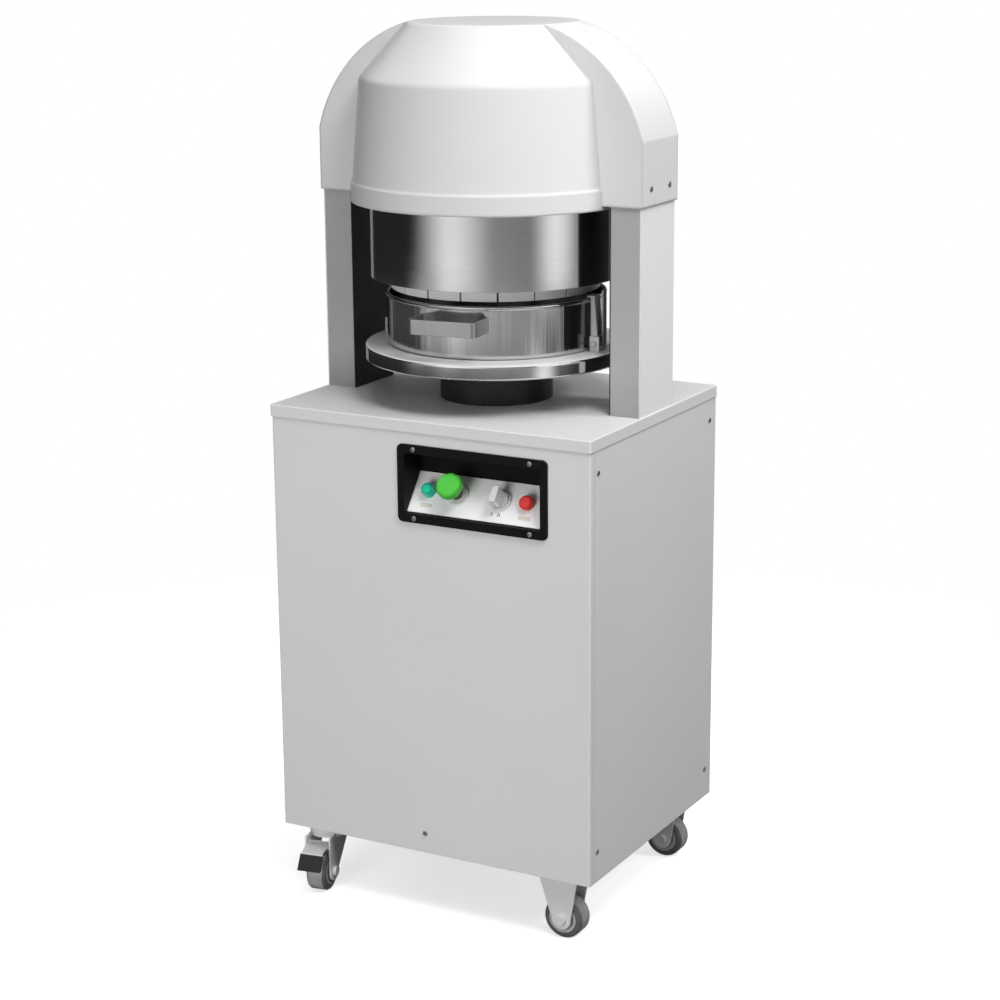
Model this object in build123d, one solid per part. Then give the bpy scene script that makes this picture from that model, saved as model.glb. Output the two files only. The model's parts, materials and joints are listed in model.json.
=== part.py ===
from build123d import *
import math
import os

# Electric dough divider for 36 pieces, in millimetres.
# The origin lies on the floor under the axis of the ram, +Z is up and the front faces -Y.

# Dough pan, which sets the width of the head and of the machine
pan_inner_radius = 178.5
pan_height = 88.0
pan_floor = 3.0
pan_wall = 4.0
pan_corner_radius = 7.0
rim_bead_radius = 3.5
handle_width = 118.0
handle_height = 24.0
handle_reach = 49.0
handle_sheet = 3.0
handle_bend = 9.0
handle_middle = 58.5
handle_turn = 6.5

# Press head: fixed white blocks, and knives that come down between them
ring_counts = (6, 12, 18)
block_height = 100.0
knife_sheet = 1.5
knife_clearance = 0.8
pan_clearance = 1.7
press_plate_thickness = 12.0
press_plate_clearance = 1.3
press_post_radius = 12.0
press_post_spread = 110.0
pressed_dough = 49.5
knife_inset = 20.5
knife_gap = 2.0
knife_top_gap = 1.5
carrier_thickness = 8.0
carrier_clearance = 5.0
carrier_seat = 0.05
head_room = 50.0
plunger_radius = 10.0
plunger_fit = 0.05
plunger_grip = 30.0
plunger_end_gap = 3.0
cylinder_radius = 24.0
cylinder_cap = 12.0
cylinder_flange_radius = 34.0
cylinder_flange_height = 8.0

# Sleeve round the head and the beam that carries it
sleeve_clearance = 2.8
sleeve_sheet = 2.5
sleeve_gap = 0.2
beam_height = 56.0
beam_plate = 14.0
beam_rib = 12.0
beam_depth = 112.0
beam_web_height = 40.0

# Lifting table, its ram and the guide in the cabinet
lift_stroke = 42.0
stop_gap = 2.5
table_thickness = 25.5
table_margin = 16.0
table_top_round = 5.0
table_lower_round = 3.0
table_clearance = 4.0
guide_radius = 95.0
guide_rise = 64.0
guide_depth = 146.0
guide_round = 6.0
barrel_radius = 62.0
barrel_clearance = 0.5
bush_wall = 6.0
bush_length = 50.0
bush_seat = 0.05
ram_radius = 40.0
ram_fit = 0.05
ram_foot = 5.0

# Rack and pinion drive
gear_module = 4.0
pinion_teeth = 18
pressure_angle = 20.0
backlash = 0.5
flank_steps = 4
rack_flat = 34.0
rack_back = 12.0
rack_width = 24.0
rack_clearance = 40.0
mesh_margin = 16.0
pinion_width = 22.0
shaft_radius = 14.0
shaft_fit = 0.05
shaft_seat = 0.05
shaft_overhang = 6.0
gearbox_gap = 10.0
gearbox_width = 96.0
gearbox_depth = 92.0
gearbox_height = 140.0
gearbox_round = 10.0
gearbox_cover_radius = 40.0
gearbox_cover_height = 7.0
shaft_engagement = 60.0
motor_radius = 62.0
motor_length = 190.0
motor_flange_radius = 48.0
motor_flange_clearance = 4.0
motor_cowl_length = 45.0
motor_cowl_wall = 3.0
terminal_box_size = 60.0
terminal_box_reach = 34.0

# Pan clamps at the left and right of the table
clamp_offset = -10.0
clamp_gap = 2.0
lever_sheet = 3.0
lever_depth = 7.0
lever_width = 20.0
lever_eye_radius = 6.0
hook_reach = 5.5
hook_gap = 0.6
hook_thickness = 4.0
clamp_room = 7.0
bracket_sheet = 3.0
bracket_width = 28.0
bracket_height = 104.0
bracket_ear_height = 26.0
bracket_round = 5.5
upright_width = 12.0
pivot_height = 13.0
pivot_radius = 3.0
pivot_fit = 0.05
pivot_head_radius = 5.0
pivot_head_height = 2.5

# Columns and hood
head_gap = 26.0
lip_clearance = 3.5
liner_sheet = 2.0
column_width = 51.0
column_depth = 124.0
column_wall = 4.0
cover_sheet = 2.0
column_inset = 2.5
liner_top_gap = 1.0
hood_wall = 3.0
hood_fit = 0.5
hood_side_height = 104.0
hood_crown_height = 178.0
crown_clearance = 16.5
hood_flat_half = 123.0
arch_radius = 246.0
lip_drop = 6.5
lip_height = 34.5
lip_step = 3.0
skirt_taper = 14.0
crown_radius = 142.0
crown_drop = 88.5
shoulder_round = 16.0
crown_round = 12.0

# Cabinet
caster_height = 113.0
cabinet_height = 726.0
cabinet_depth = 476.0
panel_sheet = 1.5
panel_bend = 4.0
panel_return = 14.0
panel_seam = 0.5
plate_height = 20.0
plate_sheet = 3.0
plate_overhang = 2.0
plate_edge_round = 2.0
plate_corner_round = 4.0
frame_gap = 0.5
frame_leg = 40.0
frame_thickness = 4.0
guide_bar_width = 40.0
guide_bar_thickness = 8.0
guide_bar_gap = 4.0
shelf_thickness = 8.0
shelf_edge = 60.0
louvre_rows = 8
louvre_columns = 2
louvre_length = 120.0
louvre_width = 6.0
louvre_pitch = 18.0
louvre_spread = 90.0
louvre_height = 560.0

# Screws of the covers
screw_radius = 2.5
screw_clearance = 0.1
screw_head_radius = 4.6
screw_head_height = 2.4
screw_head_round = 1.5
screw_grip = 6.0
side_screw_inset = 26.0
side_screw_top = 37.0
side_screw_foot = 53.0
front_screw_offset = -12.0
front_screw_foot = 35.0
hood_screw_height = 28.0
hood_screw_spread = 34.0

# Control panel
bezel_offset = 85.5
bezel_drop = 105.0
bezel_width = 275.0
bezel_height = 130.0
bezel_thickness = 4.0
bezel_corner = 9.0
bezel_side = 12.5
bezel_band = 15.0
bezel_inner_corner = 4.0
bezel_screw_spread = 107.0
recess_depth = 51.0
recess_sheet = 2.0
recess_fit = 0.5
console_tilt = 38.0
console_sheet = 2.0
console_setback = 4.0
console_fit = 0.2
lamp_edge = 31.0
start_offset = 41.0
selector_offset = 38.0
stop_edge = 37.0
button_rise = 1.0
button_radius = 9.0
button_fit = 0.3
collar_radius = 18.5
collar_height = 5.0
collar_round = 1.5
button_tail = 6.0
start_cap_radius = 22.0
start_cap_height = 13.0
start_cap_gap = 27.0
start_cap_round = 6.0
stop_cap_radius = 12.0
stop_cap_gap = 6.0
stop_cap_height = 9.0
stop_round = 4.5
lamp_radius = 10.5
lamp_rise = 18.0
lamp_round = 5.0
selector_gap = 0.3
selector_radius = 15.5
selector_bar_width = 12.0
selector_bar_length = 29.0
selector_bar_height = 22.0
selector_base_height = 4.0
selector_round = 3.0

# Electrical box and cable entry
electric_width = 160.0
electric_depth = 100.0
electric_height = 240.0
electric_lid = 3.0
electric_lid_rim = 6.0
electric_place_x = -190.0
electric_place_y = 140.0
gland_radius = 11.0
gland_nut_height = 8.0
gland_body_radius = 8.0
gland_fit = 0.3
gland_body_length = 16.0
gland_bore = 4.5
gland_place_x = -200.0
gland_height = 77.0

# Casters: fixed at the right, swivelling with a brake pedal at the left
caster_spread_x = 235.0
caster_spread_y = 195.0
caster_plate_length = 100.0
caster_plate_width = 66.0
caster_plate_thickness = 4.0
wheel_radius = 35.0
wheel_width = 36.0
tread_round = 5.0
hub_radius = 22.5
hub_recess = 3.0
hub_boss_radius = 10.0
axle_radius = 5.0
axle_fit = 0.06
axle_head_radius = 8.5
axle_head_height = 5.0
fork_side_gap = 2.5
fork_sheet = 3.0
fork_left_reach = 42.0
fork_right_reach = 30.0
fork_eye_radius = 17.0
swivel_angles = {"front_left": -80.0, "rear_left": 140.0}
trail = 32.0
race_radius = 32.0
race_height = 9.0
race_gap = 0.5
crown_thickness = 6.0
kingpin_radius = 7.0
kingpin_fit = 0.05
fork_heel = 26.0
fork_toe = 50.0
fork_toe_drop = 14.0
pedal_pin_radius = 3.0
pedal_pin_fit = 0.05
pedal_pin_place = 42.0
pedal_pin_drop = 8.0
pedal_barrel_radius = 6.0
pedal_reach = 46.0
pedal_fall = 10.0
pedal_drop = 31.0
pedal_width = 42.0
pedal_sheet = 5.0
pedal_tread = 24.0
pedal_side_gap = 1.0

# Radial stack, from the pan outwards to the edge of the cabinet
rim_outer = pan_inner_radius + 2 * rim_bead_radius
pan_outer = pan_inner_radius + pan_wall
knife_ring_outer = pan_inner_radius - pan_clearance
knife_ring_inner = knife_ring_outer - knife_sheet
block_radius = knife_ring_inner - knife_clearance
lever_inner = rim_outer + clamp_gap
lever_outer = lever_inner + lever_depth
bracket_inner = lever_outer + clamp_room
bracket_outer = bracket_inner + bracket_sheet
pivot_place = (lever_inner + bracket_inner) / 2
bracket_front = clamp_offset - bracket_width / 2
bracket_back = clamp_offset + bracket_width / 2
upright_front = bracket_back - upright_width
upright_reach = max(abs(upright_front), abs(bracket_back))
sleeve_inner = math.hypot(bracket_outer, upright_reach) + sleeve_clearance
sleeve_outer = sleeve_inner + sleeve_sheet
plunger_spread = (knife_ring_outer + sleeve_inner) / 2
table_radius = bracket_outer + table_margin
lip_radius = sleeve_outer + head_gap + hood_wall
liner_face = lip_radius + lip_clearance
column_inner = liner_face + liner_sheet
column_outer = column_inner + column_width
cover_face = column_outer + cover_sheet
plate_half_width = cover_face + column_inset
plate_half_depth = cabinet_depth / 2 + plate_overhang
cabinet_half_width = plate_half_width - plate_overhang
cabinet_half_depth = cabinet_depth / 2
frame_half_width = cabinet_half_width - panel_sheet - frame_gap
frame_half_depth = cabinet_half_depth - panel_sheet - frame_gap
frame_corner = panel_bend - panel_sheet - frame_gap

# Heights, from the floor up to the top of the hood
base_level = caster_height
panel_top = base_level + cabinet_height
plate_top = panel_top + plate_height
frame_top = plate_top - plate_sheet
guide_top = plate_top + guide_rise
guide_bottom = plate_top - guide_depth
table_under = guide_top + table_clearance
table_top = table_under + table_thickness
rim_top = table_top + pan_height
bracket_top = table_top + bracket_height
handle_top = table_top + handle_middle + handle_height / 2
sleeve_bottom = handle_top + lift_stroke + stop_gap
lifted_floor = table_top + lift_stroke + pan_floor
block_bottom = lifted_floor + pressed_dough
knife_edge = block_bottom + knife_inset
knife_travel = knife_edge - knife_gap - lifted_floor
press_plate_bottom = block_bottom + block_height
press_plate_top = press_plate_bottom + press_plate_thickness
knife_top = press_plate_bottom - knife_top_gap
carrier_bottom = bracket_top + lift_stroke + knife_travel + carrier_clearance
carrier_top = carrier_bottom + carrier_thickness
beam_bottom = carrier_top + head_room
beam_top = beam_bottom + beam_height
cylinder_foot = beam_bottom + beam_plate
plunger_top = cylinder_foot + plunger_grip + knife_travel
hood_crease = beam_top + crown_clearance
hood_bottom = hood_crease - hood_side_height
hood_top = hood_crease + hood_crown_height
lip_bottom = hood_bottom - lip_drop
lip_top = lip_bottom + lip_height
shoulder_level = hood_top - crown_drop
hood_half_width = cover_face + hood_fit + hood_wall
hood_half_depth = column_depth / 2 + hood_fit + hood_wall

# Drive levels: the rack stays below the guide at the top of the stroke
pitch_radius = gear_module * pinion_teeth / 2
tooth_pitch = math.pi * gear_module
addendum = gear_module
dedendum = 1.25 * gear_module
rack_top = guide_bottom - rack_clearance - lift_stroke
rack_bottom = rack_top - lift_stroke - 2 * mesh_margin
ram_bottom = rack_bottom - ram_foot
rack_pitch_line = rack_flat + rack_back + dedendum
pinion_y = rack_pitch_line + pitch_radius
pinion_z = rack_top - mesh_margin
gearbox_left = pinion_width / 2 + gearbox_gap
gearbox_bottom = pinion_z - gearbox_height / 2
shelf_bottom = gearbox_bottom - shelf_thickness
motor_x = gearbox_left + gearbox_width / 2

# Control panel frame: its normal leans up from the front
bezel_z = plate_top - bezel_drop
opening_half_width = bezel_width / 2 - bezel_side
opening_half_height = bezel_height / 2 - bezel_band
cabinet_front = -cabinet_half_depth
tilt_sine = math.sin(math.radians(console_tilt))
tilt_cosine = math.cos(math.radians(console_tilt))
console_run = recess_depth - console_setback - console_fit - console_sheet * tilt_cosine
console_length = console_run / tilt_sine
console_foot_y = cabinet_front + console_setback
console_foot_z = bezel_z - opening_half_height + console_sheet * tilt_sine + console_fit
console_normal = (0, -tilt_cosine, tilt_sine)
console_plane = Plane(
    origin=(
        bezel_offset,
        console_foot_y + console_length / 2 * tilt_sine,
        console_foot_z + console_length / 2 * tilt_cosine,
    ),
    x_dir=(1, 0, 0),
    z_dir=console_normal,
)
button_places = {
    "power_lamp": lamp_edge - opening_half_width,
    "start_button": -start_offset,
    "selector_knob": selector_offset,
    "stop_button": opening_half_width - stop_edge,
}


def block(x0, x1, y0, y1, z0, z1):
    """Box between two corners."""
    middle = Pos((x0 + x1) / 2, (y0 + y1) / 2, (z0 + z1) / 2)
    return middle * Box(x1 - x0, y1 - y0, z1 - z0)


def rod(radius, z0, z1, x=0, y=0):
    """Upright cylinder between two heights."""
    return Pos(x, y, (z0 + z1) / 2) * Cylinder(radius, z1 - z0)


def rod_x(radius, x0, x1, y, z):
    """Cylinder along X."""
    return Pos((x0 + x1) / 2, y, z) * Rot(0, 90, 0) * Cylinder(radius, x1 - x0)


def rod_y(radius, y0, y1, x, z):
    """Cylinder along Y."""
    return Pos(x, (y0 + y1) / 2, z) * Rot(90, 0, 0) * Cylinder(radius, y1 - y0)


def tube(outer, inner, z0, z1, x=0, y=0):
    """Upright tube between two heights."""
    return rod(outer, z0, z1, x, y) - rod(inner, z0, z1, x, y)


def section(points):
    """Flat face in the XZ plane."""
    return make_face(Polyline(*[(x, 0, z) for x, z in points], close=True))


def round_corner(face, place, radius):
    """Round the corner of a section that lies nearest to a place."""
    corner = face.vertices().sort_by_distance((place[0], 0, place[1]))[0]
    return fillet(corner, radius)


def turned(face):
    """Body turned about the machine's axis."""
    return revolve(face, Axis.Z)


def prism_y(points, y0, y1):
    """XZ outline drawn out along Y."""
    return Pos(0, y0, 0) * extrude(section(points), amount=y1 - y0, dir=(0, 1, 0))


def group(pieces):
    """Separate solids kept together in one node."""
    return Compound(children=[solid for piece in pieces for solid in piece.solids()])


def mirrored(piece):
    """The same piece on the other side of the machine."""
    return mirror(piece, about=Plane.YZ)


def screw(place, direction):
    """Round-headed screw whose head sits on the surface at a place."""
    seat = Plane(origin=place, z_dir=direction)
    shank = Pos(0, 0, -screw_grip / 2) * Cylinder(screw_radius, screw_grip)
    head = Pos(0, 0, screw_head_height / 2) * Cylinder(screw_head_radius, screw_head_height)
    head = fillet(head.edges().group_by(Axis.Z)[-1], screw_head_round)
    return seat * (head + shank)


def screw_hole(place, direction):
    """Clearance hole for a screw, a little deeper than its shank."""
    depth = screw_grip + screw_clearance
    seat = Plane(origin=place, z_dir=direction)
    return seat * (Pos(0, 0, -depth / 2) * Cylinder(screw_radius + screw_clearance, depth))


def side_screw_places(side):
    """Screws of a side panel, near its four corners."""
    heights = (base_level + side_screw_foot, panel_top - side_screw_top)
    reach = cabinet_half_depth - side_screw_inset
    return [((side * cabinet_half_width, y, z), (side, 0, 0)) for y in (-reach, reach) for z in heights]


def back_screw_places():
    """Screws of the back panel, near its four corners."""
    heights = (base_level + side_screw_foot, panel_top - side_screw_top)
    reach = cabinet_half_width - side_screw_inset
    return [((x, cabinet_half_depth, z), (0, 1, 0)) for x in (-reach, reach) for z in heights]


def front_screw_places():
    """Single screw at the foot of the front panel."""
    return [((front_screw_offset, cabinet_front, base_level + front_screw_foot), (0, -1, 0))]


def hood_screw_places(side):
    """Two screws low on the side of the hood."""
    height = hood_bottom + hood_screw_height
    spread = hood_screw_spread
    return [((side * hood_half_width, y, height), (side, 0, 0)) for y in (-spread, spread)]


def bezel_screw_places():
    """Screws in the upper and lower band of the control bezel."""
    reach = bezel_height / 2 - bezel_band / 2
    front = cabinet_front - bezel_thickness
    return [
        ((bezel_offset + x, front, bezel_z + z), (0, -1, 0))
        for x in (-bezel_screw_spread, bezel_screw_spread)
        for z in (-reach, reach)
    ]


def frame_screw_places():
    """Screws that reach into the frame."""
    return front_screw_places() + back_screw_places() + side_screw_places(-1) + side_screw_places(1)


def cover_screw_places():
    """All screws that hold panels, hood and control bezel."""
    return frame_screw_places() + bezel_screw_places() + hood_screw_places(-1) + hood_screw_places(1)


def drill(piece, places):
    """Cut the screw holes that reach a piece."""
    for place, direction in places:
        piece -= screw_hole(place, direction)
    return piece


def corner_post():
    """Angle post at the right rear corner, between the floor and the upper rails."""
    width, depth, t = frame_half_width, frame_half_depth, frame_thickness
    foot, head = base_level + t, frame_top - t
    post = block(width - frame_leg, width, depth - frame_leg, depth, foot, head)
    post -= block(width - frame_leg, width - t, depth - frame_leg, depth - t, foot, head)
    return fillet(post.edges().filter_by(Axis.Z).sort_by(SortBy.DISTANCE)[-1], frame_corner)


def flat_rails(foot, head):
    """Flat bars on edge between the posts, round all four sides."""
    width, depth, t = frame_half_width, frame_half_depth, frame_thickness
    rails = []
    for side in (-1, 1):
        x0, x1 = sorted((side * (width - t), side * width))
        y0, y1 = sorted((side * (depth - t), side * depth))
        rails.append(block(x0, x1, -depth + frame_leg, depth - frame_leg, foot, head))
        rails.append(block(-width + frame_leg, width - frame_leg, y0, y1, foot, head))
    return rails


def upper_rails():
    """Flat bars that lie on the posts."""
    width, depth, foot = frame_half_width, frame_half_depth, frame_top - frame_thickness
    rails = []
    for side in (-1, 1):
        x0, x1 = sorted((side * (width - frame_leg), side * width))
        y0, y1 = sorted((side * (depth - frame_leg), side * depth))
        long_rail = block(-width, width, y0, y1, foot, frame_top)
        corners = long_rail.edges().filter_by(Axis.Z).group_by(Axis.Y)[0 if side < 0 else -1]
        rails.append(fillet(corners, frame_corner))
        rails.append(block(x0, x1, -depth + frame_leg, depth - frame_leg, foot, frame_top))
    return rails


def guide_bars():
    """Bars under the top plate that hold the ram guide between them."""
    reach = frame_half_width - frame_leg
    inner = barrel_radius + guide_bar_gap
    return [
        block(-reach, reach, y, y + guide_bar_width, frame_top - guide_bar_thickness, frame_top)
        for y in (-inner - guide_bar_width, inner)
    ]


def gearbox_shelf():
    """Shelf that carries the gearbox, with the hole of the motor flange."""
    left = rack_width / 2 + frame_thickness
    right, back = frame_half_width - frame_thickness, frame_half_depth - frame_thickness
    shelf = block(left, right, shelf_edge, back, shelf_bottom, shelf_bottom + shelf_thickness)
    return shelf - rod(
        motor_flange_radius + motor_flange_clearance,
        shelf_bottom,
        shelf_bottom + shelf_thickness,
        motor_x,
        pinion_y,
    )


def base_frame():
    """Welded frame: floor, corner posts, rails, guide bars and gearbox shelf."""
    width, depth, t = frame_half_width, frame_half_depth, frame_thickness
    floor = block(-width, width, -depth, depth, base_level, base_level + t)
    floor = fillet(floor.edges().filter_by(Axis.Z), frame_corner)
    right = corner_post()
    left = mirrored(right)
    posts = [left, right, Rot(0, 0, 180) * left, Rot(0, 0, 180) * right]
    shelf_top = shelf_bottom + shelf_thickness
    rails = flat_rails(base_level + t, base_level + frame_leg) + flat_rails(shelf_top - frame_leg, shelf_top)
    members = [floor, gearbox_shelf()] + posts + rails + upper_rails() + guide_bars()
    return group(drill(member, frame_screw_places()) for member in members)


def front_panel():
    """Sheet front with bent edges and the cut-out of the control recess."""
    width, front = cabinet_half_width, cabinet_front
    outer = Pos(0, front + panel_return / 2, (base_level + panel_top) / 2) * Box(
        2 * width, panel_return, cabinet_height
    )
    outer = fillet(outer.edges().filter_by(Axis.Z).group_by(Axis.Y)[0], panel_bend)
    inner = block(
        -width + panel_sheet,
        width - panel_sheet,
        front + panel_sheet,
        front + 2 * panel_return,
        base_level,
        panel_top,
    )
    inner = fillet(inner.edges().filter_by(Axis.Z).group_by(Axis.Y)[0], panel_bend - panel_sheet)
    reach_x = opening_half_width + recess_sheet + recess_fit
    reach_z = opening_half_height + recess_sheet + recess_fit
    recess = block(
        bezel_offset - reach_x,
        bezel_offset + reach_x,
        front,
        front + panel_sheet,
        bezel_z - reach_z,
        bezel_z + reach_z,
    )
    return drill(outer - inner - recess, front_screw_places() + bezel_screw_places())


def side_panel(side):
    """Flat side sheet behind the bent edge of the front."""
    front = cabinet_front + panel_return + panel_seam
    inner = side * (cabinet_half_width - panel_sheet)
    outer = side * cabinet_half_width
    panel = block(
        min(inner, outer), max(inner, outer), front, cabinet_half_depth, base_level, panel_top
    )
    return drill(panel, side_screw_places(side))


def back_panel():
    """Back sheet between the sides, with cooling slots."""
    width = cabinet_half_width - panel_sheet - panel_seam
    back = cabinet_half_depth
    panel = block(-width, width, back - panel_sheet, back, base_level, panel_top)
    for row in range(louvre_rows):
        for column in range(louvre_columns):
            x = (2 * column - louvre_columns + 1) * louvre_spread
            z = base_level + louvre_height + (row - (louvre_rows - 1) / 2) * louvre_pitch
            slot = SlotOverall(louvre_length, louvre_width)
            seat = Plane(origin=(x, back, z), x_dir=(1, 0, 0), z_dir=(0, 1, 0))
            panel -= extrude(seat * slot, amount=panel_sheet, both=True)
    panel -= rod_y(gland_body_radius, back - panel_sheet, back, gland_place_x, base_level + gland_height)
    return drill(panel, back_screw_places())


def top_plate():
    """Folded sheet top with turned-down edges and the hole of the ram guide."""
    width, depth, t = plate_half_width, plate_half_depth, plate_sheet
    plate = block(-width, width, -depth, depth, panel_top, plate_top)
    plate = fillet(plate.edges().filter_by(Axis.Z), plate_corner_round)
    plate = fillet(plate.faces().sort_by(Axis.Z)[-1].edges(), plate_edge_round)
    plate -= block(-width + t, width - t, -depth + t, depth - t, panel_top, frame_top)
    return plate - rod(barrel_radius + barrel_clearance, frame_top, plate_top)


def cover_screws():
    """Screws of the panels, the hood and the control bezel."""
    return group(screw(place, direction) for place, direction in cover_screw_places())


def column():
    """Right steel column, a closed section that stands on the top plate."""
    half = column_depth / 2
    post = block(column_inner, column_outer, -half, half, plate_top, beam_top)
    wall = column_wall
    post -= block(
        column_inner + wall, column_outer - wall, -half + wall, half - wall, plate_top, beam_top
    )
    return drill(post, hood_screw_places(1))


def column_cover():
    """Light outer cover sheet of the right column."""
    half = column_depth / 2
    sheet = block(column_outer, cover_face, -half, half, plate_top, beam_top)
    return drill(sheet, hood_screw_places(1))


def column_liner():
    """Black liner on the inner face of the right column."""
    half = column_depth / 2
    return block(liner_face, column_inner, -half, half, plate_top, beam_bottom - liner_top_gap)


def dome(inset, foot):
    """Round part of the hood: lip, skirt, sloping shoulder and flat crown."""
    skirt = lip_radius - lip_step - inset
    shoulder = skirt - skirt_taper
    face = section(
        [
            (0, foot),
            (lip_radius - inset, foot),
            (lip_radius - inset, lip_top - lip_step - inset),
            (skirt, lip_top - inset),
            (shoulder, shoulder_level - inset),
            (crown_radius, hood_top - inset),
            (0, hood_top - inset),
        ]
    )
    face = round_corner(face, (shoulder, shoulder_level - inset), shoulder_round)
    face = round_corner(face, (crown_radius, hood_top - inset), crown_round)
    return turned(face)


def arch(inset, foot):
    """Band of the hood that runs over the top from column to column."""
    half = hood_half_width - inset
    top = hood_top - inset
    chord = math.hypot(half - hood_flat_half, top - hood_crease)
    rise = arch_radius - math.sqrt(arch_radius**2 - (chord / 2) ** 2)
    middle_x = (half + hood_flat_half) / 2 + rise * (top - hood_crease) / chord
    middle_z = (hood_crease + top) / 2 + rise * (half - hood_flat_half) / chord
    outline = Polyline((-half, 0, hood_crease), (-half, 0, foot), (half, 0, foot), (half, 0, hood_crease))
    outline += ThreePointArc((half, 0, hood_crease), (middle_x, 0, middle_z), (hood_flat_half, 0, top))
    outline += Line((hood_flat_half, 0, top), (-hood_flat_half, 0, top))
    outline += ThreePointArc((-hood_flat_half, 0, top), (-middle_x, 0, middle_z), (-half, 0, hood_crease))
    return extrude(make_face(outline), amount=hood_half_depth - inset, dir=(0, 1, 0), both=True)


def hood():
    """Moulded hood in one piece, open below."""
    outer = dome(0, lip_bottom) + arch(0, hood_bottom)
    inner = dome(hood_wall, lip_bottom) + arch(hood_wall, hood_bottom)
    return drill(outer - inner, hood_screw_places(1) + hood_screw_places(-1))


def head_beam():
    """Ribbed casting between the columns, with holes for the knife plungers."""
    half = beam_depth / 2
    beam = block(-column_inner, column_inner, -half, half, beam_bottom, beam_bottom + beam_plate)
    for y in (-half, half - beam_rib):
        beam += block(-column_inner, column_inner, y, y + beam_rib, beam_bottom, beam_top)
    for side in (-1, 1):
        x = side * press_post_spread
        web_top = beam_bottom + beam_web_height
        beam += block(x - beam_rib / 2, x + beam_rib / 2, -half, half, beam_bottom, web_top)
        beam -= rod(plunger_radius + plunger_fit, beam_bottom, cylinder_foot, side * plunger_spread)
    return beam


def head_sleeve():
    """Polished sleeve round the head."""
    return tube(sleeve_outer, sleeve_inner, sleeve_bottom, beam_bottom)


def ring_edges():
    """Radii of the knife rings, so that every piece of dough has the same area."""
    total = sum(ring_counts)
    edges = [0.0]
    for index in range(len(ring_counts)):
        edges.append(block_radius * math.sqrt(sum(ring_counts[: index + 1]) / total))
    return edges


def knife_grid():
    """Knife rings and the blades between them; the outer ring reaches up into the carrier."""
    edges = ring_edges()
    half = knife_sheet / 2
    parts = [tube(knife_ring_outer, knife_ring_inner, knife_edge, carrier_top)]
    for radius in edges[1:-1]:
        parts.append(tube(radius + half, radius - half, knife_edge, knife_top))
    for count, start, end in zip(ring_counts, edges[:-1], edges[1:]):
        reach = end - half if end < block_radius else knife_ring_inner
        blades = [
            Rot(0, 0, 360 * index / count) * block(start, reach + half, -half, half, knife_edge, knife_top)
            for index in range(count)
        ]
        rim = rod(reach, knife_edge, knife_top)
        if start == 0:
            parts.append(rim & Part() + blades)
        else:
            core = rod(start + half, knife_edge, knife_top)
            parts.extend((blade - core) & rim for blade in blades)
    return group(parts)


def knife_carrier():
    """Flat ring that carries the knives inside the sleeve."""
    return tube(sleeve_inner - sleeve_gap, knife_ring_outer + carrier_seat, carrier_bottom, carrier_top)


def press_blocks():
    """White blocks that fill the cells between the knives."""
    edges = ring_edges()
    margin = knife_sheet / 2 + knife_clearance
    pieces = []
    for count, start, end in zip(ring_counts, edges[:-1], edges[1:]):
        outer = end - margin if end < block_radius else block_radius
        ring = Circle(outer)
        if start > 0:
            ring -= Circle(start + margin)
        for index in range(count):
            slot = Pos(end / 2, 0) * Rectangle(end + 2 * margin, 2 * margin)
            ring -= Rot(0, 0, 360 * index / count) * slot
        for cell in ring.faces():
            pieces.append(Pos(0, 0, block_bottom) * extrude(cell, amount=block_height))
    return group(pieces)


def press_plate():
    """Plate that carries the blocks and hangs under the beam."""
    radius = knife_ring_inner - press_plate_clearance
    return rod(radius, press_plate_bottom, press_plate_top)


def press_posts():
    """Posts that hang the press plate from the beam."""
    return group(
        rod(press_post_radius, press_plate_top, beam_bottom, x, y)
        for x in (-press_post_spread, press_post_spread)
        for y in (-beam_depth / 4, beam_depth / 4)
    )


def knife_cylinders():
    """Plunger cylinders that stand on the beam, left and right in the hood."""
    top = plunger_top + plunger_end_gap
    cylinders = []
    for x in (-plunger_spread, plunger_spread):
        body = rod(cylinder_radius, cylinder_foot, top + cylinder_cap, x)
        body += rod(cylinder_flange_radius, cylinder_foot, cylinder_foot + cylinder_flange_height, x)
        cylinders.append(body - rod(plunger_radius + plunger_fit, cylinder_foot, top, x))
    return group(cylinders)


def knife_plungers():
    """Plungers that push the knife carrier down."""
    return group(
        rod(plunger_radius, carrier_top, plunger_top, x) for x in (-plunger_spread, plunger_spread)
    )


def guide_housing():
    """Black cast guide that stands on the top plate and reaches into the cabinet."""
    bore = ram_radius + ram_fit + bush_wall + bush_seat
    body = rod(guide_radius, plate_top, guide_top)
    body = fillet(body.edges().group_by(Axis.Z)[-1], guide_round)
    return body + rod(barrel_radius, guide_bottom, plate_top) - rod(bore, guide_bottom, guide_top)


def ram_bushes():
    """Bronze bushes at both ends of the guide."""
    inner = ram_radius + ram_fit
    return group(
        tube(inner + bush_wall, inner, foot, foot + bush_length)
        for foot in (guide_bottom, guide_top - bush_length)
    )


def ram():
    """Round ram with a flat for the rack."""
    body = rod(ram_radius, ram_bottom, table_under)
    return body - block(-ram_radius, ram_radius, rack_flat, ram_radius, ram_bottom, rack_top)


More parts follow.
